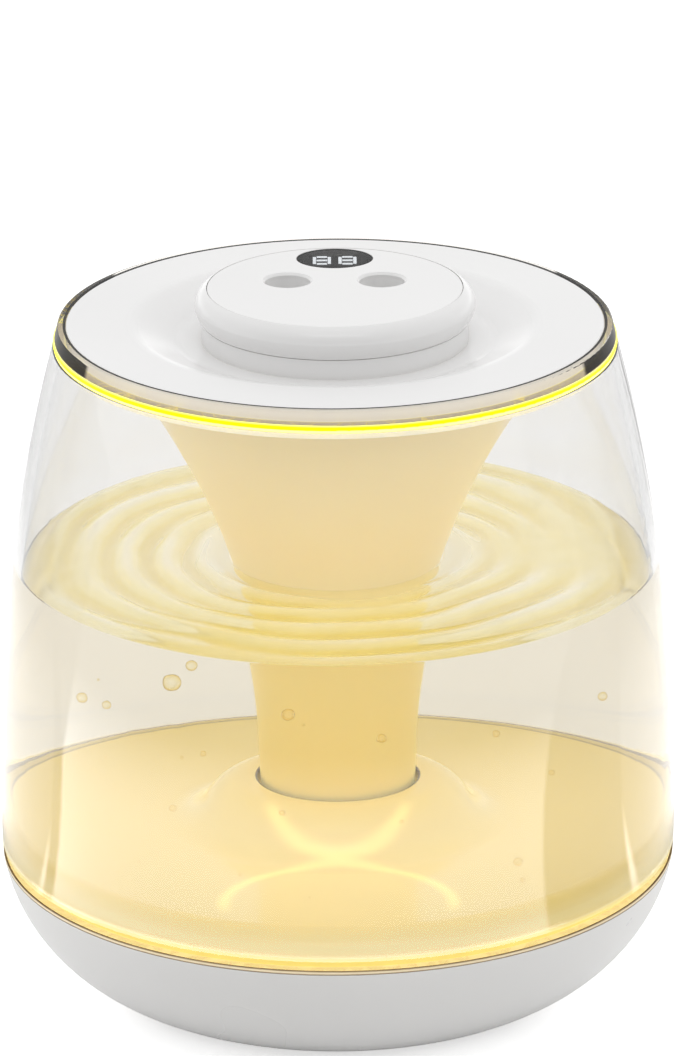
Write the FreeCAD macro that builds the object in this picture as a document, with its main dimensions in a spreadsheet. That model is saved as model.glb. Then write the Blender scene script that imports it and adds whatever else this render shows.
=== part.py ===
"""A table-top cool mist humidifier: a clear bell-shaped tank on a white bowl, and a lift-out lid.

The lid carries a trumpet-shaped column with two wicks, a ring of light, and under a lift-off cap the two
atomiser discs that turn the wicks' water into mist. Millimetres, +Z up, the origin on the surface it
stands on, under the middle of the tank, and the front towards -Y.
"""

import FreeCAD
import Part
import Sketcher

import math
import os

DOCUMENT = FreeCAD.newDocument("humidifier")
SHEET = DOCUMENT.addObject("Spreadsheet::Sheet", "Sizes")

# Every driving dimension, in millimetres. Heights end in _z and are measured from the standing surface.
DIMENSIONS = {
    # bowl and feet
    "foot_radius": 6.5,
    "foot_circle": 57.0,
    "plate_z": 1.2,
    "plate_thickness": 1.8,
    "plate_radius": 65.9,
    "plate_gap": 0.3,
    "bowl_arc": 50.0,
    "bowl_arc_radius": 50.4,
    "bowl_arc_z": 47.0,
    "bowl_wall": 2.6,
    "bowl_opening": 58.0,
    "ledge_radius": 92.8,
    "ledge_depth": 2.4,
    "seam_z": 38.0,
    # tank
    "seal_thickness": 1.2,
    "tank_radius": 100.0,
    "tank_arc": 528.0,
    "belly_z": 58.0,
    "tank_wall": 3.2,
    "tank_top_z": 194.8,
    # tank floor, with the mound and the well that the column stands in
    "floor_radius": 96.1,
    "floor_lip": 2.7,
    "floor_z": 49.0,
    "floor_round": 8.0,
    "floor_thickness": 2.4,
    "mound_z": 62.5,
    "mound_radius": 46.0,
    "crest_radius": 24.0,
    "well_radius": 21.3,
    "well_floor_z": 28.4,
    "boss_radius": 4.0,
    "boss_circle": 50.0,
    "screw_length": 14.0,
    "screw_radius": 1.4,
    "screw_head": 2.8,
    "seat_depth": 1.0,
    "screw_gap": 0.06,
    # lid
    "lid_z": 201.0,
    "lid_radius": 78.0,
    "lid_thickness": 2.4,
    "skirt_thickness": 1.8,
    "skirt_z": 192.2,
    "skirt_step": 0.6,
    "dish_radius": 58.7,
    "dish_floor_radius": 46.0,
    "dish_depth": 5.0,
    "dish_edge_round": 9.0,
    "dish_floor_round": 7.0,
    "lid_hole": 26.0,
    "lid_boss_radius": 3.2,
    "lid_boss_height": 7.0,
    "ring_gap": 0.1,
    "gasket_thickness": 0.6,
    "light_height": 1.6,
    "rim_taper": 1.0,
    "led_circle": 74.4,
    "led_size": 2.8,
    "led_z": 195.2,
    "led_depth": 1.5,
    "strip_thickness": 0.4,
    "strip_z": 193.2,
    "strip_height": 4.8,
    # trumpet-shaped column
    "neck_radius": 20.8,
    "neck_z": 65.0,
    "trumpet_arc": 208.7,
    "column_wall": 1.6,
    "foot_outer": 20.6,
    "foot_inner": 19.2,
    "foot_top_z": 62.0,
    "column_z": 42.0,
    "strainer_thickness": 2.0,
    "strainer_hole": 1.7,
    "tab_width": 14.0,
    "tab_height": 5.0,
    "tab_thickness": 1.4,
    # wicks and atomisers
    "wick_x": 13.7,
    "wick_y": 6.6,
    "wick_radius": 2.85,
    "wick_z": 50.0,
    "tube_radius": 3.7,
    "tube_bore": 3.05,
    "tube_z": 44.0,
    "tube_flange": 5.6,
    "tube_flange_thickness": 1.2,
    "spring_wire": 0.35,
    "spring_radius": 2.2,
    "disc_radius": 8.0,
    "disc_thickness": 0.6,
    "disc_z": 199.1,
    "disc_mesh": 2.6,
    "disc_gasket_radius": 9.2,
    "disc_gasket_bore": 5.5,
    "disc_gasket_height": 3.4,
    # collar and driver board
    "collar_radius": 38.8,
    "collar_bore": 34.6,
    "collar_z": 201.8,
    "spigot_radius": 36.4,
    "spigot_z": 206.8,
    "deck_thickness": 1.4,
    "pad_height": 0.6,
    "board_radius": 34.0,
    "board_thickness": 1.2,
    "module_screw_circle": 30.5,
    "module_screw_head": 2.3,
    "module_screw_radius": 1.25,
    "inlet_width": 8.9,
    "inlet_height": 3.2,
    "inlet_depth": 7.4,
    "inlet_z": 197.7,
    "plug_width": 13.0,
    "plug_reach": 60.5,
    "plug_wall": 2.0,
    "pin_radius": 0.75,
    # cap
    "cap_z": 202.0,
    "cap_radius": 40.7,
    "cap_belly_z": 206.4,
    "cap_base_radius": 38.9,
    "cap_bore": 36.7,
    "cap_top_z": 211.3,
    "cap_edge_arc": 5.6,
    "cap_foot_arc": 7.0,
    "cap_ledge": 35.2,
    "disc_plate_radius": 37.05,
    "disc_plate_thickness": 1.6,
    "nozzle_radius": 6.6,
    "nozzle_throat": 5.6,
    "nozzle_wall": 1.6,
    "nozzle_z": 201.0,
    # display
    "window_x": 11.0,
    "window_y": 9.2,
    "window_centre": 27.1,
    "window_gap": 0.25,
    "window_z": 209.8,
    "window_pocket": 1.2,
    "key_tab_x": 13.0,
    "display_board_z": 204.8,
    "display_board_x": 13.5,
    "display_board_y": 15.2,
    "display_screw_x": 9.5,
    "display_screw_y": 17.6,
    "pin_y": 17.4,
    "module_x": 7.6,
    "module_y": 4.8,
    "module_back": 1.2,
    "key_y": 26.0,
    "digit_width": 5.3,
    "digit_height": 7.5,
    "digit_pitch": 7.5,
    "segment_width": 0.95,
    "segment_thickness": 0.2,
    "module_top_z": 209.1,
}
LED_COUNT = 24
MODULE_SCREWS = 3
MODULE_SCREW_START = 30.0
PLATE_SCREWS = 4
PLATE_SCREW_START = 45.0
FEET = 4


class Size:
    """A length that knows both its value and the spreadsheet expression that gives it."""

    def __init__(self, value, text):
        self.value = float(value)
        self.text = text

    def _with(self, other, sign, value):
        return Size(value, f"({self.text} {sign} {size(other).text})")

    def __add__(self, other):
        return self._with(other, "+", self.value + size(other).value)

    def __sub__(self, other):
        return self._with(other, "-", self.value - size(other).value)

    def __mul__(self, other):
        return self._with(other, "*", self.value * size(other).value)

    def __truediv__(self, other):
        return self._with(other, "/", self.value / size(other).value)

    def __rsub__(self, other):
        return size(other) - self

    def __radd__(self, other):
        return size(other) + self

    def __rmul__(self, other):
        return size(other) * self

    def __neg__(self):
        return size(0) - self


def size(number):
    """A plain number as a Size."""
    return number if isinstance(number, Size) else Size(number, repr(float(number)))


def root(number):
    return Size(math.sqrt(number.value), f"sqrt({number.text})")


class Dimensions:
    """The spreadsheet's aliases as attributes."""


def fill_sheet():
    """Writes the driving dimensions to the sheet, and returns them as Sizes."""
    found = Dimensions()
    for row, (name, value) in enumerate(DIMENSIONS.items(), start=1):
        SHEET.set(f"A{row}", name)
        SHEET.set(f"B{row}", str(value))
        SHEET.setAlias(f"B{row}", name)
        setattr(found, name, Size(value, f"Sizes.{name}"))
    DOCUMENT.recompute()
    return found


D = fill_sheet()


def bind(thing, **properties):
    """Binds properties to the sheet. A double underscore in a name stands for a dot."""
    for name, value in properties.items():
        thing.setExpression(name.replace("__", "."), size(value).text)


def place(thing, x=0, y=0, z=0, turn=0.0):
    """Puts a primitive at a point bound to the sheet, turned about its own vertical by so many degrees."""
    thing.Placement = FreeCAD.Placement(
        FreeCAD.Vector(size(x).value, size(y).value, size(z).value),
        FreeCAD.Rotation(FreeCAD.Vector(0, 0, 1), turn),
    )
    bind(thing, Placement__Base__x=x, Placement__Base__y=y, Placement__Base__z=z)
    return thing


# ---------------------------------------------------------------- sketches and turned bodies


class Arc:
    """An outline's step along a circle to its next point, bulging to the left of its way if left is true."""

    def __init__(self, radius, left):
        self.radius = size(radius)
        self.left = left


def arc_middle(start, end, arc):
    """The point half way along a short arc."""
    chord = end - start
    half = chord.Length / 2
    rise = arc.radius.value - math.sqrt(arc.radius.value**2 - half**2)
    normal = FreeCAD.Vector(-chord.y, chord.x, 0).normalize()
    return (start + end) / 2 + normal * (rise if arc.left else -rise)


def outline(sketch, steps):
    """Draws a closed outline from (across, up) points, with an Arc between two points that it joins."""
    corners = [step for step in steps if not isinstance(step, Arc)]
    arcs = {}
    for step in steps:
        if isinstance(step, Arc):
            arcs[len(arcs_before(steps, step)) - 1] = step
    places = [FreeCAD.Vector(size(a).value, size(b).value, 0) for a, b in corners]
    ends = []
    for index, start in enumerate(places):
        end = places[(index + 1) % len(places)]
        arc = arcs.get(index)
        if arc is None:
            edge = sketch.addGeometry(Part.LineSegment(start, end), False)
        else:
            edge = sketch.addGeometry(Part.Arc(start, arc_middle(start, end, arc), end), False)
        first = 1 if sketch.getPoint(edge, 1).distanceToPoint(start) < 1e-6 else 2
        ends.append((edge, first, 3 - first))
    for index, (edge, first, last) in enumerate(ends):
        following, its_first, _ = ends[(index + 1) % len(ends)]
        sketch.addConstraint(Sketcher.Constraint("Coincident", edge, last, following, its_first))
    for index, (edge, first, last) in enumerate(ends):
        across, up = corners[index]
        fix(sketch, "DistanceX", edge, first, size(across), -2)
        fix(sketch, "DistanceY", edge, first, size(up), -1)
        if index in arcs:
            radius = arcs[index].radius
            number = sketch.addConstraint(Sketcher.Constraint("Radius", edge, radius.value))
            sketch.setExpression(f"Constraints[{number}]", radius.text)


def arcs_before(steps, arc):
    """The points that come before an arc."""
    return [step for step in steps[: steps.index(arc)] if not isinstance(step, Arc)]


def fix(sketch, kind, edge, end, distance, axis):
    """Holds one end of an edge at a distance from an axis, or on it."""
    if abs(distance.value) < 1e-9:
        sketch.addConstraint(Sketcher.Constraint("PointOnObject", edge, end, axis))
        return
    number = sketch.addConstraint(Sketcher.Constraint(kind, -1, 1, edge, end, distance.value))
    sketch.setExpression(f"Constraints[{number}]", distance.text)


def sketch_on(body, role, name):
    """A sketch attached to one of a body's own origin planes."""
    sketch = body.newObject("Sketcher::SketchObject", name)
    plane = next(f for f in body.Origin.OriginFeatures if f.Role == role)
    sketch.AttachmentSupport = [(plane, "")]
    sketch.MapMode = "FlatFace"
    return sketch


def turned(name, steps):
    """A body of revolution about the vertical, from its half section in (radius, height)."""
    body = DOCUMENT.addObject("PartDesign::Body", name)
    sketch = sketch_on(body, "XZ_Plane", name + "_section")
    outline(sketch, steps)
    DOCUMENT.recompute()
    spin = body.newObject("PartDesign::Revolution", name + "_turn")
    spin.Profile = sketch
    spin.ReferenceAxis = (sketch, ["V_Axis"])
    spin.Angle = 360.0
    DOCUMENT.recompute()
    return body


def rounded(body, radius, *circles):
    """Rounds the circular edges of a turned body that lie at the given (radius, height)."""
    base = body.Tip
    found = []
    for number, edge in enumerate(base.Shape.Edges, start=1):
        if not isinstance(edge.Curve, Part.Circle):
            continue
        for across, up in circles:
            same_radius = abs(edge.Curve.Radius - size(across).value) < 1e-4
            if same_radius and abs(edge.Curve.Center.z - size(up).value) < 1e-4:
                found.append(f"Edge{number}")
    if len(found) < len(circles):
        raise ValueError(f"{body.Name}: {len(circles)} edges to round, {len(found)} found")
    fillet = body.newObject("PartDesign::Fillet", body.Name + "_round")
    fillet.Base = (base, found)
    bind(fillet, Radius=radius)
    DOCUMENT.recompute()
    return body


# ---------------------------------------------------------------- primitives and booleans


def part(kind, name):
    return DOCUMENT.addObject(kind, name)


def rod(name, radius, low, high, x=0, y=0):
    """An upright cylinder between two heights."""
    made = part("Part::Cylinder", name)
    bind(made, Radius=radius, Height=size(high) - low)
    return place(made, x, y, low)


def cone(name, low_radius, high_radius, low, high, x=0, y=0):
    made = part("Part::Cone", name)
    bind(made, Radius1=low_radius, Radius2=high_radius, Height=size(high) - low)
    return place(made, x, y, low)


def block(name, x, y, z):
    """A box from three (low, high) pairs."""
    made = part("Part::Box", name)
    bind(made, Length=size(x[1]) - x[0], Width=size(y[1]) - y[0], Height=size(z[1]) - z[0])
    return place(made, x[0], y[0], z[0])


def joined(name, pieces):
    made = part("Part::MultiFuse", name)
    made.Shapes = pieces
    return made


def common(name, first, second):
    made = part("Part::Common", name)
    made.Base = first
    made.Tool = second
    return made


def cut(name, base, tools):
    made = part("Part::Cut", name)
    made.Base = base
    made.Tool = tools[0] if len(tools) == 1 else joined(name + "_tools", tools)
    return made


def pipe(name, outer, inner, low, high, x=0, y=0):
    """An upright tube between two heights."""
    return cut(name, rod(name + "_outside", outer, low, high, x, y),
               [rod(name + "_inside", inner, low, high, x, y)])


def around(count, radius, start=0.0):
    """Points evenly spaced on a circle, each as (x, y, angle in degrees)."""
    for index in range(count):
        angle = start + 360.0 * index / count
        turn = math.radians(angle)
        yield radius * round(math.cos(turn), 12), radius * round(math.sin(turn), 12), angle


def screw(name, x, y, face, head, head_height, shank, length, up=True):
    """A screw whose head lies on a face. Its shank points up from the face, or down from it."""
    if up:
        pieces = [rod(name + "_head", head, face - head_height, face, x, y),
                  rod(name + "_shank", shank, face, face + length, x, y)]
    else:
        pieces = [rod(name + "_head", head, face, face + head_height, x, y),
                  rod(name + "_shank", shank, face - length, face, x, y)]
    return joined(name, pieces)


# ---------------------------------------------------------------- bowl and feet

NODES = {}
SIDES = {"left": -1, "right": 1}


def node(name, thing):
    """Keeps a finished sub-part under the name that its file gets."""
    thing.Label = name
    NODES[name] = thing
    return thing


def bowl_edge(up, inset=0):
    """The bowl's radius at a height, on its outside or so far inside it."""
    arc = D.bowl_arc - inset
    drop = D.bowl_arc_z - up
    return D.bowl_arc_radius + root(arc * arc - drop * drop)


def tank_edge(up, inset=0):
    """The tank's radius at a height, on its outside or so far inside it."""
    arc = D.tank_arc - inset
    rise = size(up) - D.belly_z
    return D.tank_radius - D.tank_arc + root(arc * arc - rise * rise)


PLATE_TOP = D.plate_z + D.plate_thickness
SEAL_TOP = D.seam_z + D.seal_thickness


def make_base_shell():
    """The bowl: one rounded shell with a ledge for the tank's seal at its top."""
    inner_floor = PLATE_TOP + D.bowl_wall
    ledge_z = D.seam_z - D.ledge_depth
    body = turned("base_shell", [
        (D.plate_radius + D.plate_gap, D.plate_z),
        (bowl_edge(D.plate_z), D.plate_z),
        Arc(D.bowl_arc, False),
        (bowl_edge(D.seam_z), D.seam_z),
        (D.ledge_radius, D.seam_z),
        (D.ledge_radius, ledge_z),
        (bowl_edge(ledge_z, D.bowl_wall), ledge_z),
        Arc(D.bowl_arc - D.bowl_wall, True),
        (bowl_edge(inner_floor, D.bowl_wall), inner_floor),
        (D.bowl_opening, inner_floor),
        (D.bowl_opening, PLATE_TOP),
        (D.plate_radius + D.plate_gap, PLATE_TOP),
    ])
    rounded(body, 0.8, (bowl_edge(D.plate_z), D.plate_z))
    node("base_shell", rounded(body, 0.3, (bowl_edge(D.seam_z), D.seam_z)))


def make_bottom_plate():
    """The disc that closes the bowl, with countersunk seats for its four screws."""
    plate = turned("bottom_plate_disc", [
        (0, D.plate_z),
        (D.plate_radius, D.plate_z),
        (D.plate_radius, PLATE_TOP),
        (0, PLATE_TOP),
    ])
    holes = []
    for number, (x, y, _) in enumerate(around(PLATE_SCREWS, D.boss_circle, PLATE_SCREW_START)):
        holes.append(rod(f"plate_hole_{number}", D.screw_radius + 0.3, D.plate_z, PLATE_TOP, x, y))
        holes.append(rod(f"plate_seat_{number}", D.screw_head + 0.2, D.plate_z, D.plate_z + D.seat_depth,
                         x, y))
    node("bottom_plate", cut("bottom_plate", plate, holes))


def make_feet():
    """Four rubber pads under the bottom plate."""
    feet = []
    for number, (x, y, _) in enumerate(around(FEET, D.foot_circle)):
        feet.append(rod(f"foot_{number}", D.foot_radius, 0, D.plate_z, x, y))
    node("rubber_feet", joined("rubber_feet", feet))


def make_plate_screws():
    """The screws that hold the bottom plate to the tank floor's bosses."""
    screws = []
    for number, (x, y, _) in enumerate(around(PLATE_SCREWS, D.boss_circle, PLATE_SCREW_START)):
        screws.append(screw(f"plate_screw_{number}", x, y, D.plate_z + D.seat_depth, D.screw_head, size(0.9),
                            D.screw_radius, D.screw_length))
    node("plate_screws", joined("plate_screws", screws))


# ---------------------------------------------------------------- tank


def make_base_seal():
    """The flat ring that both the tank wall and the tank floor stand on."""
    node("base_seal", turned("base_seal", [
        (D.ledge_radius, D.seam_z),
        (tank_edge(D.seam_z) - 0.1, D.seam_z),
        (tank_edge(SEAL_TOP) - 0.1, SEAL_TOP),
        (D.ledge_radius, SEAL_TOP),
    ]))


def make_tank_wall():
    """The clear bell, one arc outside and one inside, with rounded ends."""
    top = D.tank_top_z
    body = turned("tank_wall", [
        (tank_edge(SEAL_TOP, D.tank_wall), SEAL_TOP),
        (tank_edge(SEAL_TOP), SEAL_TOP),
        Arc(D.tank_arc, False),
        (tank_edge(top), top),
        (tank_edge(top, D.tank_wall), top),
        Arc(D.tank_arc - D.tank_wall, True),
    ])
    rounded(body, 0.5, (tank_edge(SEAL_TOP), SEAL_TOP))
    node("tank_wall", rounded(body, 0.4, (tank_edge(top), top), (tank_edge(top, D.tank_wall), top)))


def make_tank_floor():
    """The moulded floor: a rounded edge, a mound in the middle, and the well for the column's foot."""
    under = D.floor_z - D.floor_thickness
    lip_inner = D.floor_radius - D.floor_lip
    run = D.mound_radius - D.crest_radius
    rise = D.mound_z - D.floor_z
    slope_arc = (run * run + rise * rise) / (rise * 4)
    middle = ((D.mound_radius + D.crest_radius) / 2, (D.mound_z + D.floor_z) / 2)
    lean = D.floor_thickness / slope_arc
    below_middle = (middle[0] - lean * run / 2, middle[1] - lean * (slope_arc - rise / 2))
    well_outer = D.well_radius + D.floor_thickness
    floor = turned("tank_floor_shell", [
        (0, D.well_floor_z - D.floor_thickness),
        (well_outer, D.well_floor_z - D.floor_thickness),
        (well_outer, D.mound_z - D.floor_thickness),
        (D.crest_radius, D.mound_z - D.floor_thickness),
        Arc(slope_arc - D.floor_thickness, True),
        below_middle,
        Arc(slope_arc + D.floor_thickness, False),
        (D.mound_radius, under),
        (D.floor_radius - D.floor_round, under),
        Arc(D.floor_round - D.floor_thickness, True),
        (lip_inner, D.floor_z - D.floor_round),
        (lip_inner, SEAL_TOP),
        (D.floor_radius, SEAL_TOP),
        (D.floor_radius, D.floor_z - D.floor_round),
        Arc(D.floor_round, False),
        (D.floor_radius - D.floor_round, D.floor_z),
        (D.mound_radius, D.floor_z),
        Arc(slope_arc, True),
        middle,
        Arc(slope_arc, False),
        (D.crest_radius, D.mound_z),
        (D.well_radius, D.mound_z),
        (D.well_radius, D.well_floor_z),
        (0, D.well_floor_z),
    ])
    rounded(floor, 0.6, (D.well_radius, D.mound_z))
    pieces = [floor]
    holes = []
    bore_top = D.plate_z + D.screw_length + 3.0
    for number, (x, y, _) in enumerate(around(PLATE_SCREWS, D.boss_circle, PLATE_SCREW_START)):
        pieces.append(rod(f"floor_boss_{number}", D.boss_radius, PLATE_TOP, under + 1.0, x, y))
        holes.append(rod(f"boss_bore_{number}", D.screw_radius + D.screw_gap, PLATE_TOP, bore_top, x, y))
    node("tank_floor", cut("tank_floor", joined("tank_floor_body", pieces), holes))


# ---------------------------------------------------------------- lid

LIGHT_Z = D.tank_top_z + D.gasket_thickness
RIM_Z = LIGHT_Z + D.light_height
DISH_Z = D.lid_z - D.dish_depth
DISH_UNDER = DISH_Z - D.lid_thickness
LID_UNDER = D.lid_z - D.lid_thickness
DECK_TOP = DISH_Z + D.deck_thickness
BOARD_Z = DECK_TOP + D.pad_height
BOARD_TOP = BOARD_Z + D.board_thickness


def make_lid_plate():
    """The white lid: a shallow dish, a skirt with a window for each lamp, a channel for the plug."""
    shell = turned("lid_shell", [
        (D.lid_hole, DISH_UNDER),
        (D.dish_floor_radius + 0.6, DISH_UNDER),
        (D.dish_radius + 0.6, LID_UNDER),
        (D.lid_radius - D.skirt_thickness, LID_UNDER),
        (D.lid_radius - D.skirt_thickness, D.skirt_z),
        (D.lid_radius + D.skirt_step, D.skirt_z),
        (D.lid_radius + D.skirt_step, LIGHT_Z),
        (D.lid_radius, LIGHT_Z),
        (D.lid_radius, D.lid_z),
        (D.dish_radius, D.lid_z),
        (D.dish_floor_radius, DISH_Z),
        (D.lid_hole, DISH_Z),
    ])
    rounded(shell, D.dish_edge_round, (D.dish_radius, D.lid_z))
    rounded(shell, D.dish_floor_round, (D.dish_floor_radius, DISH_Z))
    rounded(shell, 0.4, (D.lid_radius, D.lid_z))
    pieces = [shell]
    holes = []
    for number, (x, y, _) in enumerate(around(MODULE_SCREWS, D.module_screw_circle, MODULE_SCREW_START)):
        pieces.append(rod(f"lid_boss_{number}", D.lid_boss_radius, DISH_UNDER - D.lid_boss_height,
                          DISH_UNDER + 1.0, x, y))
        holes.append(rod(f"lid_bore_{number}", D.module_screw_radius + D.screw_gap,
                         DISH_UNDER - D.lid_boss_height + 1.0, DISH_Z, x, y))
    half = D.plug_width / 2
    wall = D.plug_wall
    pieces.append(block("plug_channel_wall", (-half - wall, half + wall),
                        (D.collar_radius + 4, D.plug_reach + wall), (DISH_UNDER, LID_UNDER + 1.0)))
    holes.append(block("plug_channel", (-half, half), (D.collar_radius + 2, D.plug_reach),
                       (DISH_Z, D.lid_z + 1.0)))
    for number, (x, y, angle) in enumerate(around(LED_COUNT, D.lid_radius - D.skirt_thickness - 1.0)):
        window = part("Part::Box", f"lamp_window_{number}")
        bind(window, Length=D.skirt_thickness + 3.0, Width=D.led_size, Height=size(1.0))
        turn = math.radians(angle)
        place(window, x + D.led_size / 2 * math.sin(turn), y - D.led_size / 2 * math.cos(turn),
              LIGHT_Z + 0.3, angle)
        holes.append(window)
    node("lid_plate", cut("lid_plate", joined("lid_plate_body", pieces), holes))


def make_rings():
    """The clear rim, the ring of light under it, and the gasket on the tank's edge."""
    bore = D.lid_radius + D.ring_gap
    rim_outer = tank_edge(RIM_Z)
    rim = turned("rim_ring", [
        (bore, RIM_Z),
        (rim_outer, RIM_Z),
        (rim_outer - D.rim_taper, D.lid_z),
        (bore, D.lid_z),
    ])
    node("rim_ring", rounded(rim, 0.5, (rim_outer - D.rim_taper, D.lid_z)))
    light_outer = tank_edge(LIGHT_Z)
    light = turned("light_ring", [
        (bore, LIGHT_Z),
        (light_outer, LIGHT_Z),
        (light_outer, RIM_Z),
        (bore, RIM_Z),
    ])
    node("light_ring", rounded(light, 0.5, (light_outer, LIGHT_Z), (light_outer, RIM_Z)))
    node("lid_gasket", turned("lid_gasket", [
        (tank_edge(D.tank_top_z, D.tank_wall) + 0.3, D.tank_top_z),
        (tank_edge(D.tank_top_z) - 0.4, D.tank_top_z),
        (tank_edge(D.tank_top_z) - 0.4, LIGHT_Z),
        (tank_edge(D.tank_top_z, D.tank_wall) + 0.3, LIGHT_Z),
    ]))


def make_led_strip():
    """The flexible strip inside the lid's skirt, and the lamps on it that shine out through the skirt."""
    face = D.led_circle
    strip_top = D.strip_z + D.strip_height
    node("led_strip", turned("led_strip", [
        (face - D.strip_thickness, D.strip_z),
        (face, D.strip_z),
        (face, strip_top),
        (face - D.strip_thickness, strip_top),
    ]))
    lamps = []
    for number, (x, y, angle) in enumerate(around(LED_COUNT, face + 0.02)):
        lamp = part("Part::Box", f"led_{number}")
        bind(lamp, Length=D.led_depth, Width=D.led_size, Height=D.led_size)
        turn = math.radians(angle)
        place(lamp, x + D.led_size / 2 * math.sin(turn), y - D.led_size / 2 * math.cos(turn),
              D.led_z, angle)
        lamps.append(lamp)
    node("led_lamps", joined("led_lamps", lamps))


def make_led_ribbon():
    """The flat flexible lead from the strip to the driver board, pressed against the lid's underside."""
    half = 1.6
    thick = 0.25
    top = LID_UNDER - 0.15
    low = DISH_UNDER - 0.15
    inner = D.lid_hole - 1.2
    outer = D.led_circle - D.strip_thickness - 0.1
    corner = D.dish_radius + 0.75
    knee = D.dish_floor_radius + 0.45
    body = DOCUMENT.addObject("PartDesign::Body", "led_ribbon")
    sketch = sketch_on(body, "XZ_Plane", "led_ribbon_section")
    outline(sketch, [
        (outer, top - thick),
        (outer, top),
        (corner, top),
        (knee, low),
        (inner + thick, low),
        (inner + thick, BOARD_Z - 0.05),
        (inner, BOARD_Z - 0.05),
        (inner, low - thick),
        (knee + 0.1, low - thick),
        (corner + 0.1, top - thick),
    ])
    DOCUMENT.recompute()
    pad = body.newObject("PartDesign::Pad", "led_ribbon_width")
    pad.Profile = sketch
    pad.Midplane = True
    bind(pad, Length=size(2 * half))
    node("led_ribbon", body)


# ---------------------------------------------------------------- column


def make_mist_column():
    """The trumpet. Its mouth meets the lid's underside, and its foot stands in the well."""
    centre = D.neck_radius + D.trumpet_arc
    top = LID_UNDER
    rise = top - D.neck_z
    inner_arc = D.trumpet_arc + D.column_wall

    def flare(arc):
        return centre - root(arc * arc - rise * rise)

    column = turned("mist_column_shell", [
        (D.foot_inner, D.column_z),
        (D.foot_outer, D.column_z),
        (D.foot_outer, D.foot_top_z),
        (D.neck_radius, D.neck_z),
        Arc(D.trumpet_arc, True),
        (flare(D.trumpet_arc), top),
        (flare(inner_arc), top),
        Arc(inner_arc, False),
        (D.neck_radius - D.column_wall, D.neck_z),
        (D.foot_inner, D.foot_top_z),
    ])
    notch = block("ribbon_notch", (flare(inner_arc) - 3, flare(D.trumpet_arc) + 1), (-2.2, 2.2),
                  (top - 0.9, top))
    node("mist_column", cut("mist_column", column, [notch]))


def make_foot_strainer():
    """The perforated disc that closes the column's foot, held by two snap tabs inside it."""
    low = D.column_z - D.strainer_thickness
    disc = rod("strainer_disc", D.foot_outer, low, D.column_z)
    ring = pipe("strainer_ring", D.foot_inner - 0.12, D.foot_inner - D.tab_thickness, D.column_z,
                D.column_z + D.tab_height)
    width = block("strainer_tab_width", (-D.tab_width / 2, D.tab_width / 2), (-D.foot_outer, D.foot_outer),
                  (D.column_z, D.column_z + D.tab_height))
    body = joined("strainer_body", [disc, common("strainer_tabs", ring, width)])
    holes = []
    for circle, count in ((5.2, 6), (10.0, 12)):
        for number, (x, y, _) in enumerate(around(count, size(circle), 15.0)):
            holes.append(rod(f"strainer_hole_{count}_{number}", D.strainer_hole, low, D.column_z, x, y))
    node("foot_strainer", cut("foot_strainer", body, holes))


# ---------------------------------------------------------------- wicks, springs and atomisers


def make_wick_set(side, sign):
    """One wick with its tube and spring, and the atomiser disc in its gasket above it."""
    x = D.wick_x * sign
    y = D.wick_y
    flange_z = DISH_Z - D.tube_flange_thickness
    tube_outside = joined(f"tube_{side}_outside", [
        rod(f"tube_{side}_stem", D.tube_radius, D.tube_z, DISH_Z, x, y),
        rod(f"tube_{side}_flange", D.tube_flange, flange_z, DISH_Z, x, y),
    ])
    tools = [rod(f"tube_{side}_bore", D.tube_bore, D.tube_z, DISH_Z, x, y)]
    for number in range(4):
        port_z = D.tube_z + 14.0 + number * 16.0
        tools.append(block(f"tube_{side}_port_{number}", (x - 1.4, x + 1.4),
                           (y - D.tube_radius - 1, y + D.tube_radius + 1), (port_z, port_z + 7.0)))
    node(f"wick_tube_{side}", cut(f"wick_tube_{side}", tube_outside, tools))
    node(f"wick_{side}", rod(f"wick_{side}", D.wick_radius, D.wick_z, D.disc_z - 0.06, x, y))
    make_spring(side, x, y)
    gasket_top = DECK_TOP + D.disc_gasket_height
    gasket = cut(f"disc_gasket_{side}",
                 rod(f"gasket_{side}_body", D.disc_gasket_radius, DECK_TOP, gasket_top, x, y),
                 [rod(f"gasket_{side}_bore", D.disc_gasket_bore, DECK_TOP, gasket_top, x, y),
                  rod(f"gasket_{side}_groove", D.disc_radius + 0.05, D.disc_z - 0.03,
                      D.disc_z + D.disc_thickness + 0.03, x, y)])
    node(f"disc_gasket_{side}", gasket)
    disc = joined(f"atomiser_disc_{side}", [
        rod(f"disc_{side}_plate", D.disc_radius, D.disc_z, D.disc_z + D.disc_thickness, x, y),
        pipe(f"disc_{side}_ceramic", D.disc_gasket_bore - 0.3, D.disc_mesh,
             D.disc_z + D.disc_thickness, D.disc_z + D.disc_thickness + 0.5, x, y),
    ])
    node(f"atomiser_disc_{side}", disc)


def make_spring(side, x, y):
    """The coil spring that pushes a wick up against its disc."""
    low = D.column_z.value + D.spring_wire.value + 0.05
    high = D.wick_z.value - D.spring_wire.value - 0.05
    radius = D.spring_radius.value
    coil = Part.makeHelix((high - low) / 5.0, high - low, radius)
    start = coil.Edges[0].valueAt(coil.Edges[0].FirstParameter)
    way = coil.Edges[0].tangentAt(coil.Edges[0].FirstParameter)
    section = Part.Wire([Part.makeCircle(D.spring_wire.value, start, way)])
    made = part("Part::Feature", f"wick_spring_{side}")
    made.Shape = Part.Wire(coil.Edges).makePipeShell([section], True, True)
    made.Placement = FreeCAD.Placement(FreeCAD.Vector(x.value, y.value, low), FreeCAD.Rotation())
    node(f"wick_spring_{side}", made)


# ---------------------------------------------------------------- collar, driver board and inlet


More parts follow.
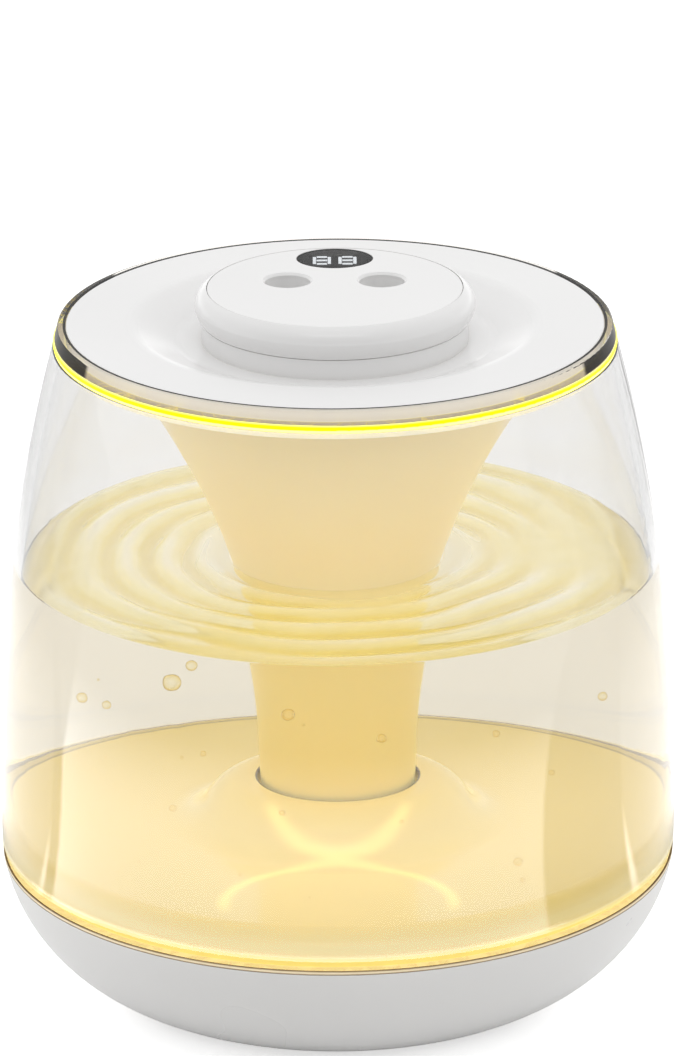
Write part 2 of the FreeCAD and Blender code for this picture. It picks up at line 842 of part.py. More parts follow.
def make_module_collar():
    """The collar that stands in the dish: a deck with pads for the board, and a spigot for the cap."""
    shell = turned("collar_shell", [
        (0, DISH_Z),
        (D.collar_radius, DISH_Z),
        (D.collar_radius, D.collar_z),
        (D.spigot_radius, D.collar_z),
        (D.spigot_radius, D.spigot_z),
        (D.collar_bore, D.spigot_z),
        (D.collar_bore, DECK_TOP),
        (0, DECK_TOP),
    ])
    rounded(shell, 0.4, (D.spigot_radius, D.spigot_z))
    pieces = [shell]
    half = D.inlet_width / 2 + 0.2
    pieces.append(block("inlet_seat", (-3.0, 3.0), (D.collar_radius - D.inlet_depth, D.collar_radius - 0.5),
                        (DECK_TOP - 0.2, D.inlet_z)))
    tools = [block("inlet_slot", (-half, half), (D.collar_bore - 2, D.collar_radius + 1),
                   (D.inlet_z, D.inlet_z + D.inlet_height + 0.2)),
             block("ribbon_slot", (D.lid_hole - 1.9, D.lid_hole - 0.3), (-2.0, 2.0), (DISH_Z, DECK_TOP))]
    for number, (x, y, _) in enumerate(around(MODULE_SCREWS, D.module_screw_circle, MODULE_SCREW_START)):
        pieces.append(rod(f"board_pad_{number}", 3.0, DECK_TOP, BOARD_Z, x, y))
        tools.append(rod(f"deck_hole_{number}", D.module_screw_radius + 0.3, DISH_Z, BOARD_Z, x, y))
    for side, sign in SIDES.items():
        tools.append(rod(f"deck_wick_hole_{side}", D.wick_radius + 0.3, DISH_Z, DECK_TOP,
                         D.wick_x * sign, D.wick_y))
    node("module_collar", cut("module_collar", joined("collar_body", pieces), tools))


def make_driver_board():
    """The round driver board, cut out round the gaskets, the screws and the inlet."""
    board = rod("driver_board_disc", D.board_radius, BOARD_Z, BOARD_TOP)
    half = D.inlet_width / 2 + 0.1
    tools = [block("board_notch", (-half, half), (D.collar_radius - D.inlet_depth - 0.1, D.collar_radius),
                   (BOARD_Z, BOARD_TOP))]
    for side, sign in SIDES.items():
        tools.append(rod(f"board_gasket_hole_{side}", D.disc_gasket_radius + 0.3, BOARD_Z, BOARD_TOP,
                         D.wick_x * sign, D.wick_y))
    for number, (x, y, _) in enumerate(around(MODULE_SCREWS, D.module_screw_circle, MODULE_SCREW_START)):
        tools.append(rod(f"board_hole_{number}", D.module_screw_radius + 0.3, BOARD_Z, BOARD_TOP, x, y))
    node("driver_board", cut("driver_board", board, tools))


def make_driver_parts():
    """What is soldered to the driver board: two coils, a chip, two capacitors and two connectors."""
    top = BOARD_TOP
    pieces = [block("controller_chip", (-4.0, 4.0), (-24.0, -16.0), (top, top + 1.4))]
    for side, sign in SIDES.items():
        x = size(17.0 * sign)
        pieces.append(rod(f"drive_coil_{side}", 4.2, top, top + 4.6, x, -14.0))
        pieces.append(rod(f"capacitor_{side}", 2.6, top, top + 4.2, size(8.0 * sign), -28.0))
        low = 10.2 if sign > 0 else -15.2
        pieces.append(block(f"lead_socket_{side}", (low, low + 5.0), (17.4, 21.4), (top, top + 3.4)))
    node("driver_parts", joined("driver_parts", pieces))


def make_usb_inlet():
    """The power inlet at the back: a shell sunk in the board's notch, with its contact tongue."""
    low = D.inlet_z
    half = D.inlet_width / 2
    back = D.collar_radius - 0.3
    front = back - D.inlet_depth + 0.3
    outside = block("inlet_outside", (-half, half), (front, back), (low, low + D.inlet_height))
    DOCUMENT.recompute()
    soft = part("Part::Fillet", "inlet_rounded")
    soft.Base = outside
    long_edges = [n for n, e in enumerate(outside.Shape.Edges, start=1)
                  if abs(e.tangentAt(e.FirstParameter).y) > 0.99]
    soft.Edges = [(n, 1.3, 1.3) for n in long_edges]
    wall = 0.4
    inside = block("inlet_inside", (-half + 0.7, half - 0.7), (front + 1.2, back),
                   (low + wall, low + D.inlet_height - wall))
    hollow = cut("inlet_shell", soft, [inside])
    middle = low + D.inlet_height / 2
    tongue = block("inlet_tongue", (-3.3, 3.3), (front + 1.0, back - 0.8), (middle - 0.35, middle + 0.35))
    node("usb_inlet", joined("usb_inlet", [hollow, tongue]))


def make_module_screws():
    """The screws that clamp the driver board and the collar to the lid."""
    screws = []
    for number, (x, y, _) in enumerate(around(MODULE_SCREWS, D.module_screw_circle, MODULE_SCREW_START)):
        screws.append(screw(f"module_screw_{number}", x, y, BOARD_TOP, D.module_screw_head, size(1.5),
                            D.module_screw_radius, size(9.0), up=False))
    node("module_screws", joined("module_screws", screws))


def make_contact_pins():
    """Four sprung pins that carry power and data up to the cap's display board."""
    pins = []
    for number in range(4):
        x = size(-4.5 + 3.0 * number)
        barrel_top = BOARD_TOP + 3.2
        pins.append(rod(f"pin_{number}_barrel", 1.1, BOARD_TOP, barrel_top, x, D.pin_y))
        pins.append(rod(f"pin_{number}_tip", D.pin_radius, barrel_top, D.display_board_z - 0.05, x, D.pin_y))
    node("contact_pins", joined("contact_pins", pins))


# ---------------------------------------------------------------- cap

PLATE_UNDER = D.cap_top_z - D.disc_plate_thickness


def make_cap_shell():
    """The cap's rounded ring, with a recess for its top plate and room below the pressed window."""
    shoulder = 0.4
    body = turned("cap_ring", [
        (D.cap_bore, D.cap_z),
        (D.cap_base_radius, D.cap_z),
        Arc(D.cap_foot_arc, False),
        (D.cap_radius, D.cap_belly_z),
        (D.cap_radius, D.cap_belly_z + shoulder),
        Arc(D.cap_edge_arc, False),
        (D.disc_plate_radius + 0.15, D.cap_top_z),
        (D.disc_plate_radius + 0.15, PLATE_UNDER),
        (D.cap_ledge, PLATE_UNDER),
        (D.cap_ledge, D.spigot_z + 0.05),
        (D.cap_bore, D.spigot_z + 0.05),
    ])
    room = oval("window_pocket", D.window_x + D.window_gap, D.window_y + D.window_gap, D.window_centre,
                PLATE_UNDER - D.window_pocket, D.cap_top_z)
    node("cap_shell", cut("cap_shell", body, [room]))


def make_top_plate():
    """The cap's top plate, with the two mist openings, the window's opening and two posts below."""
    disc = turned("top_plate_disc", [
        (0, PLATE_UNDER),
        (D.disc_plate_radius, PLATE_UNDER),
        (D.disc_plate_radius, D.cap_top_z),
        (0, D.cap_top_z),
    ])
    rounded(disc, 0.25, (D.disc_plate_radius, D.cap_top_z))
    pieces = [disc]
    tools = [oval("window_opening", D.window_x + D.window_gap, D.window_y + D.window_gap, D.window_centre,
                  PLATE_UNDER, D.cap_top_z)]
    lip = 0.7
    for side, sign in SIDES.items():
        x = D.wick_x * sign
        tools.append(rod(f"mist_opening_{side}", D.nozzle_radius, PLATE_UNDER, D.cap_top_z, x, D.wick_y))
        tools.append(cone(f"mist_lip_{side}", D.nozzle_radius, D.nozzle_radius + lip,
                          D.cap_top_z - lip, D.cap_top_z, x, D.wick_y))
        post_x = D.display_screw_x * sign
        post_y = D.display_screw_y
        post_low = D.display_board_z + D.board_thickness
        pieces.append(rod(f"display_post_{side}", 2.0, post_low, PLATE_UNDER + 0.5, post_x, post_y))
        tools.append(rod(f"display_post_bore_{side}", 0.86, post_low, PLATE_UNDER - 0.4, post_x, post_y))
    node("top_plate", cut("top_plate", joined("top_plate_body", pieces), tools))


def oval(name, across, along, centre, low, high):
    """An upright prism with an elliptical section, its centre on the Y axis."""
    body = part("Part::Ellipse", name + "_line")
    bind(body, MajorRadius=across, MinorRadius=along)
    place(body, 0, centre, low)
    made = part("Part::Extrusion", name)
    made.Base = body
    made.DirMode = "Custom"
    made.Dir = FreeCAD.Vector(0, 0, 1)
    made.Solid = True
    bind(made, LengthFwd=size(high) - low)
    return made


def make_nozzle(side, sign):
    """The funnel under a mist opening, which ends just above the disc's gasket."""
    x = D.wick_x * sign
    wall = D.nozzle_wall
    outside = cone(f"nozzle_{side}_outside", D.nozzle_throat + wall, D.nozzle_radius + wall, D.nozzle_z,
                   PLATE_UNDER, x, D.wick_y)
    inside = cone(f"nozzle_{side}_inside", D.nozzle_throat, D.nozzle_radius, D.nozzle_z, PLATE_UNDER,
                  x, D.wick_y)
    node(f"nozzle_{side}", cut(f"nozzle_{side}", outside, [inside]))


def make_display_board():
    """The small board under the display, its edge following the collar, held by two screws."""
    low = D.display_board_z
    top = low + D.board_thickness
    disc = rod("display_board_disc", D.board_radius, low, top)
    width = block("display_board_width", (-D.display_board_x, D.display_board_x),
                  (D.display_board_y, D.board_radius + 1), (low, top))
    holes = []
    screws = []
    for side, sign in SIDES.items():
        x = D.display_screw_x * sign
        y = D.display_screw_y
        holes.append(rod(f"display_board_hole_{side}", 1.1, low, top, x, y))
        screws.append(screw(f"display_screw_{side}", x, y, low, size(1.7), size(1.0), size(0.8), size(3.6)))
    node("display_board", cut("display_board", common("display_board_outline", disc, width), holes))
    node("display_screws", joined("display_screws", screws))


def make_display_module():
    """The two-digit lamp block, its fourteen segments, and the two key switches beside it."""
    low = D.display_board_z + D.board_thickness
    middle = D.window_centre + D.module_back
    node("display_module", block("display_module", (-D.module_x, D.module_x),
                                 (middle - D.module_y, middle + D.module_y), (low, D.module_top_z)))
    segments = []
    for digit, digit_x in enumerate((-D.digit_pitch / 2, D.digit_pitch / 2)):
        segments += digit_segments(digit, digit_x, middle)
    node("display_segments", joined("display_segments", segments))
    switches = []
    for side, sign in SIDES.items():
        x = size(11.6 * sign)
        y = D.key_y
        switches.append(block(f"switch_{side}_body", (x - 1.75, x + 1.75), (y - 1.6, y + 1.6),
                              (low, low + 1.6)))
        switches.append(rod(f"switch_{side}_plunger", 0.8, low + 1.6, low + 2.12, x, y))
    node("key_switches", joined("key_switches", switches))


def digit_segments(digit, centre, middle):
    """The seven bars of one digit."""
    low = D.module_top_z
    high = low + D.segment_thickness
    bar = D.segment_width
    gap = 0.18
    half_width = D.digit_width / 2
    made = []
    for row, offset in enumerate((-1, 0, 1)):
        y = middle + (D.digit_height - bar) / 2 * offset
        made.append(block(f"digit_{digit}_bar_{row}", (centre - half_width + bar + gap,
                                                      centre + half_width - bar - gap),
                          (y - bar / 2, y + bar / 2), (low, high)))
        if offset > 0:
            continue
        for column in (-1, 1):
            x = centre + (half_width - bar / 2) * column
            reach = (D.digit_height - bar) / 2
            made.append(block(f"digit_{digit}_post_{row}_{column}", (x - bar / 2, x + bar / 2),
                              (y + bar / 2 + gap - 0.4, y + reach - bar / 2 - gap + 0.4), (low, high)))
    return made


def make_display_window():
    """The smoked oval window. It is also the key: two tabs under the top plate press the switches."""
    top = D.cap_top_z
    lens = oval("window_lens", D.window_x, D.window_y, D.window_centre, D.window_z, top)
    tab_top = PLATE_UNDER - 0.1
    tab_low = D.display_board_z + D.board_thickness + 2.6
    tab_y = (D.key_y - 1.4, D.key_y + 1.4)
    tabs = block("window_tabs", (-D.key_tab_x, D.key_tab_x), tab_y, (tab_low, tab_top))
    between = block("window_between_tabs", (-D.window_x + 1.6, D.window_x - 1.6), tab_y, (tab_low, tab_top))
    pair = cut("window_tab_pair", tabs, [between])
    neck = []
    for side, low_x in {"left": -10.6, "right": 9.6}.items():
        neck.append(block(f"window_neck_{side}", (low_x, low_x + 1.0), (D.key_y - 1.2, D.key_y + 1.2),
                          (tab_low + 0.2, D.window_z + 0.3)))
    node("display_window", joined("display_window", [lens, pair] + neck))


# ---------------------------------------------------------------- building, checking and writing


def build():
    make_base_shell()
    make_bottom_plate()
    make_feet()
    make_plate_screws()
    make_base_seal()
    make_tank_wall()
    make_tank_floor()
    make_lid_plate()
    make_rings()
    make_led_strip()
    make_led_ribbon()
    make_mist_column()
    make_foot_strainer()
    make_module_collar()
    make_driver_board()
    make_driver_parts()
    make_usb_inlet()
    make_module_screws()
    make_contact_pins()
    make_cap_shell()
    make_top_plate()
    for side, sign in SIDES.items():
        make_wick_set(side, sign)
        make_nozzle(side, sign)
    make_display_board()
    make_display_module()
    make_display_window()
    DOCUMENT.recompute()


def check():
    """Stops if anything failed to build."""
    for thing in DOCUMENT.Objects:
        if "Invalid" in thing.State or "Error" in thing.State:
            raise ValueError(f"{thing.Name} failed: {thing.State}")
    for name, thing in NODES.items():
        if thing.Shape.isNull() or not thing.Shape.isValid():
            raise ValueError(f"{name} has no valid shape")
        if not thing.Shape.Solids:
            raise ValueError(f"{name} holds no solid")


def write():
    os.makedirs("parts", exist_ok=True)
    for name, thing in NODES.items():
        thing.Shape.exportStep(f"parts/{name}.step")
        box = thing.Shape.BoundBox
        print(f"{name:22s} solids {len(thing.Shape.Solids):3d}  volume {thing.Shape.Volume:10.1f}  "
              f"x {box.XMin:7.2f} {box.XMax:7.2f}  y {box.YMin:7.2f} {box.YMax:7.2f}  "
              f"z {box.ZMin:7.2f} {box.ZMax:7.2f}")


build()
check()
write()
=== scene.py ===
"""The looks of a table-top cool mist humidifier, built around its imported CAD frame.

Metres, +Z up, the origin on the surface it stands on, and the front towards -Y. The CAD nodes keep their
shapes and get procedural materials. The water with its ripples and bubbles is made here, and so are the coils
of the wick springs.
"""

import math
import random

import bmesh
import bpy
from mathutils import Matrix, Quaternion, Vector, noise


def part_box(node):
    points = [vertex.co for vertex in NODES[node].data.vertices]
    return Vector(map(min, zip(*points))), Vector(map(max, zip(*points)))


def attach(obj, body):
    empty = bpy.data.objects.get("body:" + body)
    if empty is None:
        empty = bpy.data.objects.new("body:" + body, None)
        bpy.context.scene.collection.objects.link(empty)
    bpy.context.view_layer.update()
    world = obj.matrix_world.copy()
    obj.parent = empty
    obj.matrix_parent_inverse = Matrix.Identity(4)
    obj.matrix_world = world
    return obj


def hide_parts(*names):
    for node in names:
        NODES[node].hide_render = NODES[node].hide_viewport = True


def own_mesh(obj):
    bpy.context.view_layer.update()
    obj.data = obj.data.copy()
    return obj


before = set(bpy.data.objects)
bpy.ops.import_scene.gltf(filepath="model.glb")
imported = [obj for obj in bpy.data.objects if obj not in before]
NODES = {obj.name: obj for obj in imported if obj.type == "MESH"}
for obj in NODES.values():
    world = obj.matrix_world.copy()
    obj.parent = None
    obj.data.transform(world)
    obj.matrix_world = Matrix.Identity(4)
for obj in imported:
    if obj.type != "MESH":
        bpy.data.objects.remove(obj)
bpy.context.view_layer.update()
MM = 0.001

# ---------------------------------------------------------------- sizes shared with the CAD, in metres

WALL_LOW, WALL_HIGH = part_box("tank_wall")
# The wall is turned from one arc, widest at the belly's height.
BELLY, ARC, WALL = 0.058, 0.528, 0.0032
# The column has a straight foot up to the neck's height, then an arc that opens like a trumpet.
FOOT, COLUMN_NECK, NECK, TRUMPET = 0.0206, 0.0208, 0.065, 0.2087
# The tank's floor: heights of its flat part and of its mound, radii of the mound's crest and foot.
FLOOR_FLAT, MOUND_TOP, MOUND_CREST, MOUND_FOOT = 0.049, 0.0625, 0.024, 0.046
# Its outer edge is rounded, and its side is straight below that height.
FLOOR_EDGE, FLOOR_ROUND = 0.0961, 0.008
FLOOR_SIDE = FLOOR_FLAT - FLOOR_ROUND
# The radius of the well for the column's foot, and of the rim's bore.
WELL = 0.0213
RIM_BORE = 0.0781

# ---------------------------------------------------------------- water, in metres

# The still surface's height, how high its ripples can be, and the gap that keeps the water off the plastic.
LEVEL = 0.1295
SWELL = 0.0011
GAP = 0.0004
WATER_FOOT = FLOOR_SIDE + 0.0015
TURNS = 256

# ---------------------------------------------------------------- indices of refraction

# The water's is lower than real water's, so that what stands behind it isn't drawn too wide.
CLEAR = 1.45
BEND = 1.10

# ---------------------------------------------------------------- colours, as linear RGB

WHITE = (0.86, 0.855, 0.85)
LAMP_YELLOW = (1.0, 1.0, 0.0)
SHADOW_TONE = (0.99, 0.97, 0.90)


def rgba(colour):
    """An opaque colour."""
    return (*colour, 1.0)


# ---------------------------------------------------------------- node helpers


class Graph:
    """A node tree, with short calls for the arithmetic that the materials and the world share."""

    def __init__(self, node_tree):
        self.nodes = node_tree.nodes
        self.links = node_tree.links
        self.nodes.clear()

    def link(self, source, target):
        self.links.new(source, target)

    def feed(self, socket, value):
        """Links a socket, or sets its value."""
        if isinstance(value, bpy.types.NodeSocket):
            self.link(value, socket)
        elif isinstance(value, tuple) and len(value) == 3 and socket.type == "RGBA":
            socket.default_value = rgba(value)
        else:
            socket.default_value = value

    def span(self, value, low, high, to_low=0.0, to_high=1.0, smooth=False):
        """Maps a value's range to another."""
        made = self.nodes.new("ShaderNodeMapRange")
        made.interpolation_type = "SMOOTHSTEP" if smooth else "LINEAR"
        self.feed(made.inputs["Value"], value)
        made.inputs["From Min"].default_value = low
        made.inputs["From Max"].default_value = high
        made.inputs["To Min"].default_value = to_low
        made.inputs["To Max"].default_value = to_high
        return made.outputs["Result"]

    def math(self, operation, first, second=0.0):
        made = self.nodes.new("ShaderNodeMath")
        made.operation = operation
        self.feed(made.inputs[0], first)
        self.feed(made.inputs[1], second)
        return made.outputs[0]

    def product(self, first, *others):
        """All of the values multiplied."""
        for value in others:
            first = self.math("MULTIPLY", first, value)
        return first

    def total(self, first, *others):
        """All of the values added up."""
        for value in others:
            first = self.math("ADD", first, value)
        return first

    def remainder(self, share):
        """What a share leaves of one."""
        return self.math("SUBTRACT", 1.0, share)

    def choose(self, share, first, second):
        """The first number where the share is nought, and the second where it is one."""
        return self.total(self.product(self.remainder(share), first), self.product(share, second))

    def band(self, angle, low, high, soft=0.02):
        """One between two angles in degrees, nought elsewhere, with soft ends."""
        low, high = math.radians(low), math.radians(high)
        return self.product(self.span(angle, low - soft, low + soft, smooth=True),
                            self.span(angle, high - soft, high + soft, 1.0, 0.0, smooth=True))

    def split(self, vector):
        """A vector's X, Y and Z."""
        made = self.nodes.new("ShaderNodeSeparateXYZ")
        self.link(vector, made.inputs[0])
        return made.outputs

    def ray(self, kind):
        """One for rays of a kind, nought for others."""
        return self.nodes.new("ShaderNodeLightPath").outputs[f"Is {kind} Ray"]


class Tree(Graph):
    """A material's node tree, with short calls for the nodes that the materials here share."""

    def __init__(self, name):
        self.material = bpy.data.materials.new(name)
        self.material.use_nodes = True
        super().__init__(self.material.node_tree)
        self.output = self.nodes.new("ShaderNodeOutputMaterial")
        self.coordinates = self.nodes.new("ShaderNodeTexCoord").outputs["Object"]

    def noise(self, scale, detail=3.0, roughness=0.5, stretch=(1, 1, 1)):
        """Soft noise fixed to the object."""
        mapping = self.nodes.new("ShaderNodeMapping")
        mapping.inputs["Scale"].default_value = stretch
        self.link(self.coordinates, mapping.inputs["Vector"])
        made = self.nodes.new("ShaderNodeTexNoise")
        made.inputs["Scale"].default_value = scale
        made.inputs["Detail"].default_value = detail
        made.inputs["Roughness"].default_value = roughness
        self.link(mapping.outputs[0], made.inputs["Vector"])
        return made.outputs["Fac"]

    def mix(self, factor, first, second):
        made = self.nodes.new("ShaderNodeMix")
        made.data_type = "RGBA"
        self.feed(made.inputs["Factor"], factor)
        self.feed(made.inputs["A"], first)
        self.feed(made.inputs["B"], second)
        return made.outputs["Result"]

    def ramp(self, value, stops):
        """A colour from stops of (place, colour)."""
        made = self.nodes.new("ShaderNodeValToRGB")
        points = made.color_ramp.elements
        while len(points) < len(stops):
            points.new(0.5)
        for point, (place, colour) in zip(points, stops):
            point.position = place
            point.color = rgba(colour)
        self.feed(made.inputs["Fac"], value)
        return made.outputs["Color"]

    def axis(self, letter):
        """A coordinate of the point that is shaded, in the object's frame."""
        return self.split(self.coordinates)[letter]

    def radius(self, forward=0.0):
        """The distance from the vertical axis, or from an upright line so far in front of it."""
        flat = self.nodes.new("ShaderNodeVectorMath")
        flat.operation = "MULTIPLY_ADD"
        flat.inputs[1].default_value = (1, 1, 0)
        flat.inputs[2].default_value = (0, forward, 0)
        self.link(self.coordinates, flat.inputs[0])
        length = self.nodes.new("ShaderNodeVectorMath")
        length.operation = "LENGTH"
        self.link(flat.outputs[0], length.inputs[0])
        return length.outputs["Value"]

    def arc(self, forward, radius, width, low, high):
        """A soft circular line in plan, between two depths along Y, where it fades in and out."""
        fade_in, fade_out = 0.012, 0.008
        off = self.math("ABSOLUTE", self.math("SUBTRACT", self.radius(forward), radius))
        return self.product(self.span(off, 0.0, width, 1.0, 0.0, smooth=True),
                            self.span(self.axis("Y"), low, low + fade_in, smooth=True),
                            self.span(self.axis("Y"), high - fade_out, high, 1.0, 0.0, smooth=True))

    def bump(self, height, strength, distance):
        made = self.nodes.new("ShaderNodeBump")
        made.inputs["Strength"].default_value = strength
        made.inputs["Distance"].default_value = distance
        self.link(height, made.inputs["Height"])
        return made.outputs["Normal"]

    def crevice(self, distance):
        """One in the open, falling towards nought in a crevice."""
        made = self.nodes.new("ShaderNodeAmbientOcclusion")
        made.samples = 8
        made.inputs["Distance"].default_value = distance
        return made.outputs["AO"]

    def facing(self, blend=0.5):
        """Nought where a surface is seen straight on, rising to one along it."""
        made = self.nodes.new("ShaderNodeLayerWeight")
        made.inputs["Blend"].default_value = blend
        return made.outputs["Facing"]

    def sheen(self, straight, power=5.0):
        """The share of light a clear surface reflects: little straight on, all of it along the surface."""
        grazing = self.math("POWER", self.facing(0.5), power)
        return self.total(self.product(grazing, 1.0 - straight), straight)

    def shader(self, kind, **sockets):
        """A shader node, its sockets named with spaces as underscores."""
        made = self.nodes.new(kind)
        for name, value in sockets.items():
            self.feed(made.inputs[name.replace("_", " ")], value)
        return made.outputs[0]

    def blend(self, factor, first, second):
        made = self.nodes.new("ShaderNodeMixShader")
        self.feed(made.inputs[0], factor)
        self.link(first, made.inputs[1])
        self.link(second, made.inputs[2])
        return made.outputs[0]

    def finish(self, surface):
        self.link(surface, self.output.inputs["Surface"])
        return self.material


def plastic(name, colour, roughness=0.34, glow_from=None):
    """Moulded plastic, slightly clouded, finely grained, with painted shade in corners and a painted glow
    past a radius.
    """
    tree = Tree(name)
    cloud = tree.noise(14, 1, 0.4)
    darker = tuple(part * 0.975 for part in colour)
    base = tree.mix(tree.span(cloud, 0.3, 0.7), darker, colour)
    # Painted shade: the colour darkens where ambient occlusion finds a corner or a crevice.
    corner = tree.crevice(0.004)
    corner_shade = tuple(part * share for part, share in zip(colour, (0.90, 0.89, 0.87)))
    base = tree.mix(tree.span(corner, 0.1, 0.8), corner_shade, base)
    fine = tree.noise(700, 1, 0.5)
    rough = tree.span(tree.noise(26, 1, 0.4), 0.25, 0.75, roughness - 0.05, roughness + 0.05)
    body = {"Base_Color": base, "Roughness": rough, "IOR": 1.49, "Normal": tree.bump(fine, 0.08, 0.00003)}
    # Painted light: the part glows beyond the given radius, though it is no lamp.
    if glow_from:
        glow = 0.34
        body["Emission_Color"] = (1.0, 0.96, 0.88)
        body["Emission_Strength"] = tree.span(tree.radius(), glow_from - 0.1 * MM, glow_from, 0.0, glow)
    return tree.finish(tree.shader("ShaderNodeBsdfPrincipled", **body))


def column_plastic(name):
    """The column: warm white, with painted yellow light deepening towards its foot, where the tank's light is
    strongest.
    """
    tree = Tree(name)
    up = tree.span(tree.axis("Z"), 0.05, 0.2)
    # Painted light: the colour turns yellower towards the foot, where the tank's light is strongest.
    warm = tree.ramp(up, [
        (0.0, (0.92, 0.68, 0.22)), (0.45, (0.92, 0.70, 0.26)), (0.55, (0.92, 0.73, 0.36)),
        (0.8, (0.94, 0.78, 0.46)), (1.0, (0.95, 0.84, 0.58))])
    base = tree.mix(tree.span(tree.noise(18, 4, 0.6), 0.3, 0.7, 0.0, 0.12), warm, WHITE)
    # Painted light: the column glows faintly, warmer below, though it is no lamp.
    glow = tree.ramp(up, [
        (0.0, (0.92, 1.0, 0.55)), (0.45, (0.92, 0.98, 0.52)),
        (0.6, (1.0, 0.84, 0.58)), (1.0, (1.0, 0.85, 0.62))])
    fine = tree.noise(500, 1, 0.5)
    rough = tree.span(tree.noise(26, 1, 0.4), 0.25, 0.75, 0.28, 0.38)
    return tree.finish(tree.shader(
        "ShaderNodeBsdfPrincipled", Base_Color=base, Roughness=rough, IOR=1.49,
        Subsurface_Weight=0.12, Subsurface_Radius=(0.01, 0.006, 0.003), Subsurface_Scale=0.4,
        Emission_Color=glow, Emission_Strength=0.18, Normal=tree.bump(fine, 0.08, 0.00003)))


def floor_plastic(name):
    """The tank's floor: smooth and glossy, with painted warm light from the water, deeper towards its edge.

    It has a painted brown line of shade along its back half, painted shade at the top of the well, and two
    painted arcs of light in front of the column. It glows faintly all over as painted light, more on its
    lip's side.
    """
    tree = Tree(name)
    out = tree.span(tree.radius(), 0.02, 0.096)
    # Painted light: the floor's colour is warmed by the water's yellow light, most towards its edge.
    warm = tree.ramp(out, [
        (0.0, (0.96, 0.80, 0.42)), (0.45, (0.96, 0.80, 0.38)), (0.8, (0.95, 0.77, 0.28)),
        (0.93, (0.94, 0.74, 0.20)), (1.0, (0.95, 0.78, 0.30))])
    cloud = tree.span(tree.noise(14, 2, 0.5), 0.3, 0.72, 0.0, 0.2)
    base = tree.mix(cloud, warm, (0.95, 0.86, 0.60))
    # Painted shade: a brown double line along the back half of the floor's edge, where the seam shows dark.
    back = tree.span(tree.axis("Y"), 0.0, 0.03, smooth=True)
    depths = ((0.0, 0.0), (0.30, 0.0), (0.36, 0.7), (0.44, 0.3), (0.60, 0.25), (0.66, 0.95),
              (0.81, 0.95), (0.85, 0.0))
    across = tree.span(tree.radius(), 0.084, 0.092)
    line = tree.ramp(across, [(place, (depth, depth, depth)) for place, depth in depths])
    seam = tree.product(back, line)
    base = tree.mix(seam, base, (0.16, 0.09, 0.03))
    # Painted shade: the top of the well's wall is coloured dark where shade falls round the column's foot.
    well = tree.product(tree.span(tree.radius(), WELL + 0.6 * MM, WELL + 0.9 * MM, 1.0, 0.0),
                        tree.span(tree.radius(), WELL - 0.5 * MM, WELL - 0.2 * MM),
                        tree.span(tree.axis("Z"), MOUND_TOP - 5.0 * MM, MOUND_TOP - 2.5 * MM))
    base = tree.mix(well, base, (0.10, 0.06, 0.02))
    # Painted light: two arcs of glow in front of the column, a glow on the lip's side and a faint glow all
    # over.
    outer_arc = tree.arc(forward=0.072, radius=0.032, width=0.0032, low=-0.080, high=-0.020)
    inner_arc = tree.arc(forward=0.019, radius=0.0185, width=0.0028, low=-0.060, high=-0.018)
    arc_glow, side_glow, glow_all_over = 0.22, 0.30, 0.13
    edge = tree.span(tree.axis("Z"), FLOOR_SIDE, FLOOR_SIDE + 1.5 * MM, side_glow, 0.0)
    glow = tree.total(tree.product(tree.total(outer_arc, inner_arc), arc_glow), edge, glow_all_over)
    glow = tree.product(glow, tree.remainder(tree.math("MAXIMUM", seam, well)))
    rough = tree.span(tree.noise(30, 1, 0.5), 0.25, 0.75, 0.14, 0.22)
    return tree.finish(tree.shader(
        "ShaderNodeBsdfPrincipled", Base_Color=base, Roughness=rough, IOR=1.5,
        Coat_Weight=0.5, Coat_Roughness=0.06, Emission_Color=(1.0, 0.92, 0.32), Emission_Strength=glow,
        Normal=tree.bump(tree.noise(60, 1, 0.5), 0.06, 0.0001)))


def clear_plastic(name):
    """The tank's wall: thick clear plastic that bends light.

    Its inside face bends less where water wets it, and its foot, which sits in the seam, bends nothing.
    """
    tree = Tree(name)
    up = tree.math("SUBTRACT", tree.axis("Z"), BELLY)
    drop = tree.math("SQRT", tree.math("SUBTRACT", ARC**2, tree.product(up, up)))
    middle = tree.total(drop, WALL_HIGH.x - ARC - WALL / 2)
    inside = tree.math("LESS_THAN", tree.radius(), middle)
    wet = tree.product(inside, tree.math("LESS_THAN", tree.axis("Z"), LEVEL))
    haze = tree.span(tree.noise(9, 4, 0.6), 0.3, 0.7)
    tint = tree.mix(haze, (0.972, 0.971, 0.970), (0.958, 0.957, 0.955))
    smear = tree.span(tree.noise(45, 5, 0.7), 0.35, 0.75, 0.0, 0.02)
    dry_face = tree.shader("ShaderNodeBsdfGlass", Color=tint, Roughness=smear, IOR=CLEAR)
    wet_face = tree.shader("ShaderNodeBsdfGlass", Color=tint, Roughness=smear, IOR=CLEAR / BEND)
    foot = tree.math("LESS_THAN", tree.axis("Z"), WALL_LOW.z + 3 * MM)
    edge = tree.shader("ShaderNodeBsdfTransparent", Color=(0.96, 0.94, 0.86))
    body = tree.blend(foot, tree.blend(wet, dry_face, wet_face), edge)
    clear = tree.shader("ShaderNodeBsdfTransparent", Color=(0.97, 0.97, 0.965))
    return tree.finish(tree.blend(tree.ray("Shadow"), body, clear))


